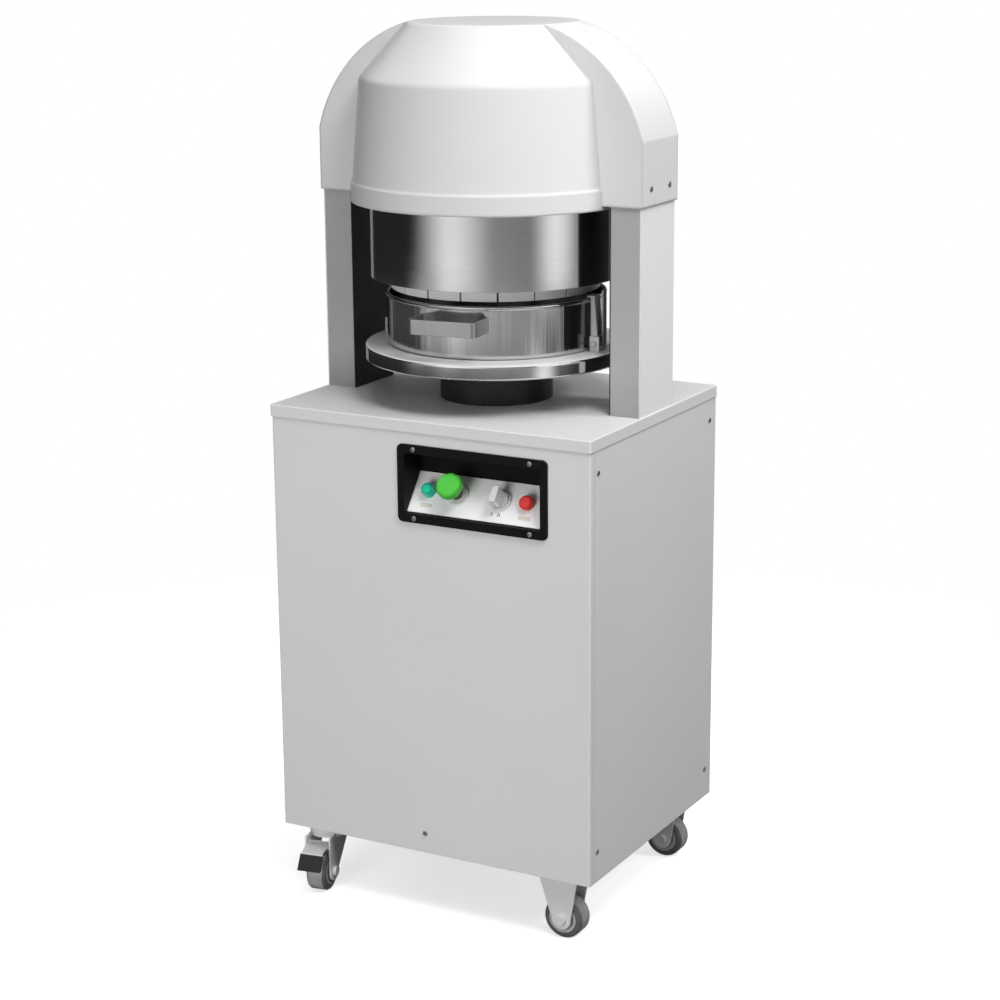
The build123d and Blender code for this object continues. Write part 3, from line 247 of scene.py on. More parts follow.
class DividerStage(bpy.types.PropertyGroup):
    """Camera, lamps and floor."""

    azimuth: plain_prop("Azimuth", "Viewing angle round the machine in degrees", 29.09)
    elevation: plain_prop("Elevation", "Viewing angle over the horizon in degrees", 14.58)
    roll: plain_prop("Roll", "Roll of the camera in degrees", -0.45)
    distance: size_prop("Distance", "Distance from the camera to its target", 4.0798)
    shift: size_prop("Target shift", "Target to the right of the machine's axis", 0.0038)
    drop: size_prop("Target drop", "Target below the top plate", 0.18477)
    lens: plain_prop("Lens", "Focal length in millimetres", 85.84)
    zenith: plain_prop("Zenith", "Strength of the light from straight above", 0.35)
    key: plain_prop("Key", "Level of the key lamp on a facing surface", 0.51)
    front: plain_prop("Front", "Level of the front lamp on a facing surface", 0.42)
    side: plain_prop("Side", "Level of the side lamp on a facing surface", 0.42)
    top: plain_prop("Top", "Level of the top lamp on a facing surface", 0.3)
    back: plain_prop("Back", "Level of the back lamp on a facing surface", 0.5)
    bounce: plain_prop("Bounce", "Share of the light that the floor sends back", 0.2)
    floor_tone: plain_prop("Floor tone", "Tone of the floor under its shadow", 0.86)
    floor_glow: plain_prop("Floor glow", "Light that the camera sees on the floor", 0.6)
    fade_start: size_prop("Fade start", "Distance at which the floor starts to fade", 0.7)
    fade_end: size_prop("Fade end", "Distance from which the floor is white", 2.0)


def settings():
    """The scene's settings for this add-on."""
    return bpy.context.scene.divider


def rgba(colour, shade=1.0):
    """Opaque colour, in a lighter or darker shade."""
    return tuple(min(1.0, part * shade) for part in colour) + (1.0,)


class Nodes:
    """A node tree that is built up from empty."""

    def __init__(self, tree):
        self.tree = tree
        tree.nodes.clear()

    def node(self, kind, inputs=None, **values):
        """Add a node; each input is linked to a socket or set to a constant."""
        node = self.tree.nodes.new(kind)
        for key, value in values.items():
            setattr(node, key, value)
        for key, value in (inputs or {}).items():
            if isinstance(value, bpy.types.NodeSocket):
                self.tree.links.new(value, node.inputs[key])
            else:
                node.inputs[key].default_value = value
        return node

    def place(self):
        """Object coordinates."""
        return self.node("ShaderNodeTexCoord").outputs["Object"]

    def split(self, vector):
        """Outputs X, Y and Z of a vector."""
        return self.node("ShaderNodeSeparateXYZ", {"Vector": vector}).outputs

    def math(self, operation, *values):
        """Result of an operation on up to three values."""
        return self.node(
            "ShaderNodeMath", dict(enumerate(values)), operation=operation
        ).outputs["Value"]

    def ramp(self, value, start, end, low=0.0, high=1.0, smooth=False):
        """Map a range of a value to another range."""
        limits = {"From Min": start, "From Max": end, "To Min": low, "To Max": high}
        passage = "SMOOTHSTEP" if smooth else "LINEAR"
        return self.node(
            "ShaderNodeMapRange", {"Value": value, **limits}, interpolation_type=passage
        ).outputs["Result"]

    def mix(self, share, first, second):
        """Go over from one colour to another."""
        colours = {"Factor": share, "A": first, "B": second}
        return self.node("ShaderNodeMix", colours, data_type="RGBA").outputs["Result"]

    def choose(self, share, first, second):
        """Go over from one shader to another."""
        return self.node(
            "ShaderNodeMixShader", {"Fac": share, 1: first, 2: second}
        ).outputs["Shader"]


def blank(name):
    """A new material that uses nodes."""
    material = bpy.data.materials.new(name)
    material.use_nodes = True
    return material


class Finish(Nodes):
    """A procedural material with one principled shader."""

    def __init__(self, name, colour, roughness, metallic=0.0, shine=0.5):
        self.material = blank(name)
        super().__init__(self.material.node_tree)
        self.colour = rgba(colour)
        self.shader = self.node("ShaderNodeBsdfPrincipled", {
            "Base Color": self.colour,
            "Roughness": roughness,
            "Metallic": metallic,
            "Specular IOR Level": shine,
        })
        self.node("ShaderNodeOutputMaterial", {"Surface": self.shader.outputs["BSDF"]})
        self.material.diffuse_color = self.colour

    def feed(self, name, source):
        """Link a socket of the shader."""
        self.tree.links.new(source, self.shader.inputs[name])

    def noise(self, scale, stretch=(1, 1, 1), detail=3.0):
        """Noise over Object coordinates, in cells per metre."""
        mapping = self.node("ShaderNodeMapping", {"Vector": self.place(), "Scale": stretch})
        noise = self.node("ShaderNodeTexNoise", {
            "Vector": mapping.outputs["Vector"],
            "Scale": scale,
            "Detail": detail,
        })
        return noise.outputs["Fac"]

    def tint(self, noise, dark, light):
        """Vary the colour between two shades of itself."""
        base = self.colour[:3]
        share = self.ramp(noise, *NOISE_RANGE)
        self.feed("Base Color", self.mix(share, rgba(base, dark), rgba(base, light)))

    def gloss(self, noise, low, high):
        """Vary the roughness."""
        self.feed("Roughness", self.ramp(noise, *NOISE_RANGE, low, high))

    def relief(self, noise, height, strength, edge=0.0):
        """Bump from a noise, over edges that catch the light."""
        inputs = {"Height": noise, "Distance": height, "Strength": strength}
        if edge:
            bevel = self.node("ShaderNodeBevel", {"Radius": edge}, samples=BEVEL_SAMPLES)
            inputs["Normal"] = bevel.outputs["Normal"]
        self.feed("Normal", self.node("ShaderNodeBump", inputs).outputs["Normal"])


def paint(name, colour, roughness=0.42, edge=0.0012):
    """Sprayed paint with a fine orange peel."""
    finish = Finish(name, colour, roughness, shine=0.4)
    finish.tint(finish.noise(scale=2.5), dark=0.975, light=1.02)
    finish.gloss(finish.noise(scale=45.0), low=roughness - 0.04, high=roughness + 0.06)
    peel = finish.noise(scale=650.0, detail=2.0)
    finish.relief(peel, height=0.00006, strength=0.6, edge=edge)
    return finish.material


def moulded_grain(finish, edge):
    """Faint relief of a moulded or plated surface."""
    grain = finish.noise(scale=1400.0, detail=1.0)
    finish.relief(grain, height=0.00004, strength=0.5, edge=edge)


def plastic(name, colour, roughness=0.4, edge=0.001, shine=0.5):
    """Moulded plastic with a faint texture."""
    finish = Finish(name, colour, roughness, shine=shine)
    finish.tint(finish.noise(scale=30.0), dark=0.96, light=1.03)
    finish.gloss(finish.noise(scale=160.0), low=roughness - 0.04, high=roughness + 0.05)
    moulded_grain(finish, edge)
    return finish.material


def metal(name, colour, roughness=0.25, stretch=(40, 40, 1200), edge=0.001, depth=0.00002,
          metallic=1.0):
    """Brushed metal whose lines run across the stretched axis."""
    finish = Finish(name, colour, roughness, metallic)
    lines = finish.noise(scale=1.0, stretch=stretch, detail=4.0)
    finish.tint(finish.noise(scale=14.0), dark=0.95, light=1.03)
    finish.gloss(lines, low=roughness * 0.8, high=roughness * 1.25)
    finish.relief(lines, height=depth, strength=0.5, edge=edge)
    return finish.material


def cast(name, colour, roughness=0.55, metallic=0.0):
    """Rough casting, bare or under paint."""
    finish = Finish(name, colour, roughness, metallic)
    finish.tint(finish.noise(scale=25.0), dark=0.85, light=1.1)
    finish.gloss(finish.noise(scale=90.0), low=roughness - 0.08, high=roughness + 0.1)
    skin = finish.noise(scale=420.0, detail=4.0)
    finish.relief(skin, height=0.0003, strength=0.6, edge=0.002)
    return finish.material


def rubber(name, colour):
    """Moulded grey rubber."""
    finish = Finish(name, colour, roughness=0.35)
    finish.tint(finish.noise(scale=60.0), dark=0.8, light=1.25)
    finish.relief(finish.noise(scale=900.0), height=0.0002, strength=0.6)
    return finish.material


def dress(material, *names):
    """Give CAD nodes a finish."""
    for name in names:
        slots = NODES[name].material_slots
        if not slots:
            NODES[name].data.materials.append(material)
        for slot in slots:
            slot.material = material


def piece(name, mesh, material, body):
    """Add a finished mesh that moves with a body."""
    if material is not None:
        mesh.materials.append(material)
    thing = bpy.data.objects.new(name, mesh)
    bpy.context.scene.collection.objects.link(thing)
    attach(thing, body)
    return thing


def soften(mesh, sharp):
    """Shade a mesh smooth between its sharp edges."""
    mesh.shade_smooth()
    mesh.set_sharp_from_angle(angle=sharp)


def plain_mesh(name, work):
    """Turn a bmesh into a mesh."""
    mesh = bpy.data.meshes.new(name)
    work.to_mesh(mesh)
    work.free()
    return mesh


def set_mesh(name, work, place):
    """Set a bmesh in place as a smooth mesh."""
    work.transform(place)
    mesh = plain_mesh(name, work)
    soften(mesh, SHARP_EDGE)
    return mesh


def bridge(work, low, high):
    """Join two closed loops of points by faces."""
    for index in range(len(low)):
        after = (index + 1) % len(low)
        work.faces.new((low[index], low[after], high[after], high[index]))


def circle(steps):
    """Cosine and sine of evenly spaced angles."""
    turns = (2 * math.pi * step / steps for step in range(steps))
    return [(math.cos(turn), math.sin(turn)) for turn in turns]


def lathe(name, rings, steps, place):
    """Closed mesh turned about the local X axis from (along, radius) points, set in place."""
    work = bmesh.new()
    loops = [
        [work.verts.new((along, radius * y, radius * z)) for y, z in circle(steps)]
        for along, radius in rings
    ]
    for here, there in zip(loops, loops[1:] + loops[:1]):
        bridge(work, here, there)
    bmesh.ops.recalc_face_normals(work, faces=work.faces)
    return set_mesh(name, work, place)


def slab(name, width, height, thickness, corner, place):
    """Closed thin plate with round corners over the local XY plane, sunk a little."""
    work = bmesh.new()
    outline = []
    for quarter in range(4):
        turn = Matrix.Rotation(math.pi / 2 * quarter, 3, "Z")
        sides = (width, height) if quarter % 2 == 0 else (height, width)
        x, y = (side / 2 - corner for side in sides)
        for step in range(CORNER_STEPS + 1):
            angle = math.pi / 2 * step / CORNER_STEPS
            tip = (x + corner * math.cos(angle), y + corner * math.sin(angle), 0)
            outline.append(turn @ Vector(tip))
    sunk = Vector((0, 0, thickness / 4))
    low = [work.verts.new(point - sunk) for point in outline]
    high = [work.verts.new(point + Vector((0, 0, thickness))) for point in outline]
    work.faces.new(list(reversed(low)))
    work.faces.new(high)
    bridge(work, low, high)
    return set_mesh(name, work, place)


def screw_proto(spec):
    """Pan-head screw along Z with a cross recess, seat at the origin."""
    work = bmesh.new()
    radius, height = spec.head_radius, spec.head_height
    half, reach = spec.recess_width / 2, radius * RECESS_REACH
    loops = [
        [
            work.verts.new((radius * share * x, radius * share * y, height * rise))
            for x, y in circle(SCREW_STEPS)
        ]
        for share, rise in SCREW_PROFILE
    ]
    for low, high in zip(loops, loops[1:]):
        bridge(work, low, high)
    work.faces.new(list(reversed(loops[0])))
    outline = []
    for quarter in range(4):
        turn = Matrix.Rotation(math.pi / 2 * quarter, 3, "Z")
        for x, y in ((half, -half), (reach, -half), (reach, half)):
            outline.append(turn @ Vector((x, y, 0)))
    top = Vector((0, 0, height))
    floor = Vector((0, 0, height - spec.recess_depth))
    edge = [work.verts.new(point + top) for point in outline]
    foot = [work.verts.new(point * RECESS_TAPER + floor) for point in outline]
    bridge(work, edge, foot)
    work.faces.new(foot)
    borders = [
        work.edges.get((loop[index - 1], loop[index]))
        for loop in (loops[-1], edge)
        for index in range(len(loop))
    ]
    bmesh.ops.triangle_fill(work, use_beauty=True, edges=borders)
    bmesh.ops.recalc_face_normals(work, faces=work.faces)
    return plain_mesh("screw_shape", work)


def islands(name):
    """Points of each separate solid in a CAD node."""
    work = bmesh.new()
    work.from_mesh(NODES[name].data)
    bmesh.ops.remove_doubles(work, verts=work.verts, dist=MERGE_DISTANCE)
    seen = set()
    groups = []
    for start in work.verts:
        if start.index in seen:
            continue
        stack, group = [start], []
        seen.add(start.index)
        while stack:
            vert = stack.pop()
            group.append(vert.co.copy())
            for edge in vert.link_edges:
                other = edge.other_vert(vert)
                if other.index not in seen:
                    seen.add(other.index)
                    stack.append(other)
        groups.append(group)
    work.free()
    return groups


def screw_seats(spec):
    """Seat and outward direction of each cover screw, which lies along X or Y."""
    seats = []
    for group in islands("cover_screws"):
        low = Vector([min(point[i] for point in group) for i in range(3)])
        high = Vector([max(point[i] for point in group) for i in range(3)])
        lengths = [
            size if abs(size - 2 * spec.head_radius) > SCREW_TOLERANCE else 0
            for size in (high - low)[:2]
        ]
        axis = lengths.index(max(lengths))
        seat = (low + high) / 2
        sign = 1 if seat[axis] > 0 else -1
        direction = Vector((0, 0, 0))
        direction[axis] = sign
        seat[axis] = (high[axis] if sign > 0 else low[axis]) - sign * spec.head_height
        seats.append((seat, direction))
    return seats


def screw_tree(proto, material):
    """Geometry nodes that set a screw on every seat, along the seat's direction."""
    tree = bpy.data.node_groups.new("Set screws", "GeometryNodeTree")
    tree.interface.new_socket("Seats", in_out="INPUT", socket_type="NodeSocketGeometry")
    size = tree.interface.new_socket("Size", in_out="INPUT", socket_type="NodeSocketFloat")
    size.default_value = 1.0
    tree.interface.new_socket("Screws", in_out="OUTPUT", socket_type="NodeSocketGeometry")
    make = Nodes(tree).node
    entry = make("NodeGroupInput").outputs
    shape = make("GeometryNodeObjectInfo", {"Object": proto})
    along = make(
        "GeometryNodeInputNamedAttribute", {"Name": "direction"}, data_type="FLOAT_VECTOR"
    )
    align = make(
        "FunctionNodeAlignRotationToVector", {"Vector": along.outputs["Attribute"]}, axis="Z"
    )
    quarter = {"Min": 0.0, "Max": math.pi / 2, "Seed": SCREW_SEED}
    angle = make("FunctionNodeRandomValue", quarter, data_type="FLOAT")
    about = make("FunctionNodeAxisAngleToRotation", {
        "Axis": (0, 0, 1),
        "Angle": angle.outputs["Value"],
    })
    twist = make("FunctionNodeRotateRotation", {
        "Rotation": align.outputs["Rotation"],
        "Rotate By": about.outputs["Rotation"],
    }, rotation_space="LOCAL")
    place = make("GeometryNodeInstanceOnPoints", {
        "Points": entry["Seats"],
        "Instance": shape.outputs["Geometry"],
        "Rotation": twist.outputs["Rotation"],
        "Scale": entry["Size"],
    })
    real = make("GeometryNodeRealizeInstances", {"Geometry": place.outputs["Instances"]})
    coat = make("GeometryNodeSetMaterial", {
        "Geometry": real.outputs["Geometry"],
        "Material": material,
    })
    make("NodeGroupOutput", {"Screws": coat.outputs["Geometry"]})
    return tree, size.identifier


class DIVIDER_OT_cabinet(bpy.types.Operator):
    """Paint the cabinet, its columns and the frame inside"""

    bl_idname = "divider.cabinet"
    bl_label = "Paint cabinet"

    def execute(self, context):
        finish = settings().finish
        cabinet = paint("Cabinet paint", finish.cabinet)
        dress(cabinet, "front_panel", "left_panel", "right_panel", "back_panel", "top_plate")
        dress(paint("Column paint", finish.column), "left_column", "right_column")
        cover = paint("Column cover paint", finish.cover)
        dress(cover, "left_column_cover", "right_column_cover")
        # The liners' black is partly painted shade on the columns' inner faces
        liner = paint("Black paint and painted shade", finish.liner, roughness=0.5)
        dress(liner, "left_column_liner", "right_column_liner", "guide_housing")
        dress(cast("Frame paint", finish.frame), "base_frame", "head_beam", "electrical_box")
        return {"FINISHED"}


class DIVIDER_OT_hood(bpy.types.Operator):
    """Finish the moulded hood"""

    bl_idname = "divider.hood"
    bl_label = "Finish hood"

    def execute(self, context):
        white = paint("Hood white", settings().finish.hood, roughness=0.34, edge=0.006)
        dress(white, "hood")
        return {"FINISHED"}


class DIVIDER_OT_head(bpy.types.Operator):
    """Polish the head, the pan and the table"""

    bl_idname = "divider.head"
    bl_label = "Polish head"

    def execute(self, context):
        finish = settings().finish
        polished = metal(
            "Polished stainless", finish.steel, roughness=0.13, stretch=(9, 9, 700), edge=0.0008
        )
        dress(polished, "head_sleeve")
        drawn = metal(
            "Drawn stainless", finish.steel, roughness=0.13, stretch=(150, 150, 0.5),
            edge=0.0008, depth=0.0012,
        )
        dress(drawn, "pan")
        self.table(finish.table)
        satin = metal("Satin stainless", finish.satin, roughness=0.34, stretch=(500, 30, 30))
        dress(satin, "pan_handle", "left_clamp", "right_clamp")
        dress(satin, "left_clamp_bracket", "right_clamp_bracket")
        dress(metal("Pin steel", finish.pin), "clamp_pins")
        dress(plastic("Press block white", finish.block, roughness=0.45), "press_blocks")
        ground = metal("Ground steel", finish.ground, roughness=0.3)
        dress(ground, "knife_grid", "knife_carrier", "knife_plungers", "knife_cylinders")
        dress(ground, "press_posts", "ram")
        dress(metal("Machined aluminium", finish.plate, roughness=0.4), "press_plate")
        return {"FINISHED"}

    def table(self, colour):
        """Turned steel with a matt top over a bright edge."""
        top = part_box("table")[1][2]
        bright, matt = 0.09, 0.5
        finish = Finish("Turned stainless", colour, bright, metallic=1.0)
        finish.tint(finish.noise(scale=14.0), dark=0.95, light=1.03)
        height = finish.split(finish.place())["Z"]
        passage = [top - depth for depth in TABLE_PASSAGE]
        for socket, edge, face in (("Roughness", bright, matt), ("Metallic", 1.0, 0.2)):
            finish.feed(socket, finish.ramp(height, *passage, edge, face, smooth=True))
        lines = finish.noise(scale=1.0, stretch=(20, 20, 900), detail=4.0)
        finish.relief(lines, height=0.00001, strength=0.5, edge=0.0008)
        dress(finish.material, "table")


class DIVIDER_OT_drive(bpy.types.Operator):
    """Finish the drive inside the cabinet"""

    bl_idname = "divider.drive"
    bl_label = "Finish drive"

    def execute(self, context):
        finish = settings().finish
        gear = metal("Gear steel", finish.gear, roughness=0.35, stretch=(1200, 40, 40))
        dress(gear, "rack", "pinion", "pinion_shaft")
        dress(metal("Bush bronze", finish.bush, roughness=0.3), "ram_bushes")
        dress(cast("Gearbox casting", finish.gearbox, roughness=0.5, metallic=0.8), "gearbox")
        dress(cast("Motor paint", finish.motor, roughness=0.5), "motor")
        return {"FINISHED"}


class DIVIDER_OT_controls(bpy.types.Operator):
    """Finish the control panel and its buttons"""

    bl_idname = "divider.controls"
    bl_label = "Finish controls"

    def execute(self, context):
        finish = settings().finish
        black = plastic("Control black", finish.black, roughness=0.5, shine=0.1)
        dress(black, "control_bezel", "control_box", "cable_gland")
        dress(paint("Console white", finish.console, roughness=0.35), "control_panel")
        collar = metal("Collar chrome", finish.collar, roughness=0.3, metallic=0.4)
        dress(collar, "button_collars")
        dress(plastic("Lamp teal", finish.teal, roughness=0.22, edge=0.0006), "power_lamp")
        self.start_button(finish)
        dress(plastic("Stop red", finish.red, roughness=0.22, edge=0.0006), "stop_button")
        silver = metal("Selector silver", finish.silver, roughness=0.32, stretch=(300, 300, 300))
        dress(silver, "selector_knob")
        return {"FINISHED"}

    def start_button(self, finish):
        """Green cap on a dark stem, told apart by the height over the console; the stem's
        near-black is partly painted shade under the cap.
        """
        cap = Finish("Start green", finish.green, roughness=0.25)
        height = cap.node(
            "ShaderNodeVectorMath", {0: cap.place(), 1: CONSOLE_OUT}, operation="DOT_PRODUCT"
        ).outputs["Value"]
        # Below this height the button gets the near-black stem colour, partly painted shade
        # under the cap
        above = cap.math("GREATER_THAN", height, CONSOLE_FACE + settings().marks.stem)
        cap.feed("Base Color", cap.mix(above, rgba(finish.stem), cap.colour))
        cap.gloss(cap.noise(scale=160.0), low=0.21, high=0.3)
        moulded_grain(cap, edge=0.0006)
        dress(cap.material, "start_button")


class DIVIDER_OT_marks(bpy.types.Operator):
    """Lay the label plates and the selector's position marks on the console"""

    bl_idname = "divider.marks"
    bl_label = "Lay marks"

    def execute(self, context):
        spec, finish = settings().marks, settings().finish
        ochre = plastic("Label ochre", finish.label, roughness=0.5, edge=0.0002)
        ink = plastic("Mark grey", finish.ink, roughness=0.5, edge=0.0001)
        size = (spec.label_width, spec.label_height, spec.thickness, spec.label_corner)
        for name in ("power_lamp", "stop_button"):
            shape = slab("label", *size, self.seat(self.middle(name), spec.drop))
            piece(name + "_label", shape, ochre, "machine")
        size = (spec.bar_width, spec.bar_height, spec.thickness, spec.bar_width / 3)
        centre = self.middle("selector_knob") + spec.mark_shift
        half = spec.bar_gap / 2
        bars = {
            "single_mark": -spec.mark_spread,
            "double_mark_left": spec.mark_spread - half,
            "double_mark_right": spec.mark_spread + half,
        }
        for name, along in bars.items():
            shape = slab("bar", *size, self.seat(centre + along, spec.drop))
            piece(name, shape, ink, "machine")
        return {"FINISHED"}

    def middle(self, name):
        """Place of a button along the console."""
        low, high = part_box(name)
        return (low[0] + high[0]) / 2

    def seat(self, along, drop):
        """Placement on the console's face, below the selector's axis."""
        right = Vector((1, 0, 0))
        up = CONSOLE_OUT.cross(right)
        axis = Vector(JOINTS["selector_turn"]["pos_m"])
        origin = axis + CONSOLE_OUT * (CONSOLE_FACE - CONSOLE_OUT.dot(axis)) - up * drop
        origin.x = along
        turn = Matrix((right, up, CONSOLE_OUT)).transposed().to_4x4()
        return Matrix.Translation(origin) @ turn


class DIVIDER_OT_screws(bpy.types.Operator):
    """Set the cover screws"""

    bl_idname = "divider.screws"
    bl_label = "Set screws"

    def execute(self, context):
        spec = settings().screws
        steel = metal(
            "Screw steel", settings().finish.screw, roughness=0.28, stretch=(300, 300, 300),
            edge=0.0003,
        )
        proto = bpy.data.objects.new("screw_shape", screw_proto(spec))
        seats = screw_seats(spec)
        points = bpy.data.meshes.new("screw_seats")
        points.from_pydata([seat for seat, along in seats], [], [])
        stored = points.attributes.new("direction", "FLOAT_VECTOR", "POINT")
        for index, (seat, along) in enumerate(seats):
            stored.data[index].vector = along
        holder = bpy.data.objects.new("screw_seats", points)
        context.scene.collection.objects.link(holder)
        tree, size_input = screw_tree(proto, steel)
        modifier = holder.modifiers.new("Screws", "NODES")
        modifier.node_group = tree
        modifier[size_input] = 1.0
        graph = context.evaluated_depsgraph_get()
        mesh = bpy.data.meshes.new_from_object(holder.evaluated_get(graph), depsgraph=graph)
        bpy.data.objects.remove(holder)
        bpy.data.objects.remove(proto)
        if len(mesh.polygons) == 0:
            raise RuntimeError("the screws came out empty")
        mesh.name = "screw_heads"
        soften(mesh, SHARP_SCREW_EDGE)
        heads = piece("screw_heads", mesh, None, "machine")
        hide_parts("cover_screws")
        return {"FINISHED"}


class DIVIDER_OT_casters(bpy.types.Operator):
    """Build the caster wheels and finish forks and pedals"""

    bl_idname = "divider.casters"
    bl_label = "Build casters"

    def execute(self, context):
        spec, finish = settings().wheels, settings().finish
        zinc = metal(
            "Zinc plate", finish.zinc, roughness=0.45, stretch=(60, 60, 60), metallic=0.25
        )
        dress(zinc, "swivel_plates", "front_right_fork", "rear_right_fork")
        dress(zinc, "front_left_fork", "rear_left_fork")
        for corner in ("front_left", "rear_left"):
            self.pedal(corner, spec, finish)
        rubbers = (rubber("Tyre side", finish.tyre), rubber("Tyre tread sheen", finish.tread))
        hub = plastic("Hub grey", finish.hub)
        for corner in ("front_left", "front_right", "rear_left", "rear_right"):
            self.wheel(corner, spec, rubbers, hub)
        return {"FINISHED"}

    def pedal(self, corner, spec, finish):
        """Zinc-plated arm with a black tread."""
        name = corner + "_pedal"
        low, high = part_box(name)
        knee = low[2] + (high[2] - low[2]) * spec.tread_share
        arm = Finish("Pedal of " + corner, finish.zinc, roughness=0.4, metallic=1.0)
        height = arm.split(arm.place())["Z"]
        above = arm.ramp(height, knee - spec.pedal_seam, knee + spec.pedal_seam)
        arm.feed("Base Color", arm.mix(above, rgba(finish.black), arm.colour))
        arm.feed("Metallic", above)
        arm.gloss(arm.noise(scale=160.0), low=0.34, high=0.48)
        moulded_grain(arm, edge=0.001)
        dress(arm.material, name)

    def wheel(self, corner, spec, rubbers, hub):
        """Tyre and hub of one caster, on the axis of its joint."""
        joint = JOINTS[corner + "_wheel_roll"]
        axis = Vector(joint["axis"]).normalized()
        turn = axis.to_track_quat("X", "Z").to_matrix().to_4x4()
        place = Matrix.Translation(joint["pos_m"]) @ turn
        low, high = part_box(corner + "_wheel")
        radius = (high[2] - low[2]) / 2
        side = -WHEEL_WIDTH / 2
        edge = radius * spec.hub_share
        mesh = lathe("tyre", self.both_sides([
            (side, edge),
            (side + spec.side_draft, radius - spec.tread_round),
            (side + spec.round_in, radius - spec.round_drop),
            (side + spec.tread_round, radius),
        ]), TYRE_STEPS, place)
        tyre = piece(corner + "_tyre", mesh, rubbers[0], corner + "_wheel")
        # The tread's faces get the lighter rubber, a painted sheen on the tread
        mesh.materials.append(rubbers[1])
        for face in mesh.polygons:
            face.material_index = int(abs(face.normal.dot(axis)) < TREAD_LEAN)
        mesh = lathe("hub", self.both_sides([
            (side, spec.bore),
            (side, spec.boss),
            (side + spec.dish, spec.boss + spec.boss_draft),
            (side + spec.dish, edge - spec.rim_foot),
            (side + spec.rim_step, edge - spec.rim_shoulder),
            (side - spec.lip_height, edge - spec.lip),
            (side - spec.lip_height, edge),
        ]), HUB_STEPS, place)
        piece(corner + "_hub", mesh, hub, corner + "_wheel")
        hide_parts(corner + "_wheel")

    def both_sides(self, profile):
        """A profile of one side, followed by its mirror image."""
        return profile + [(-along, radius) for along, radius in reversed(profile)]


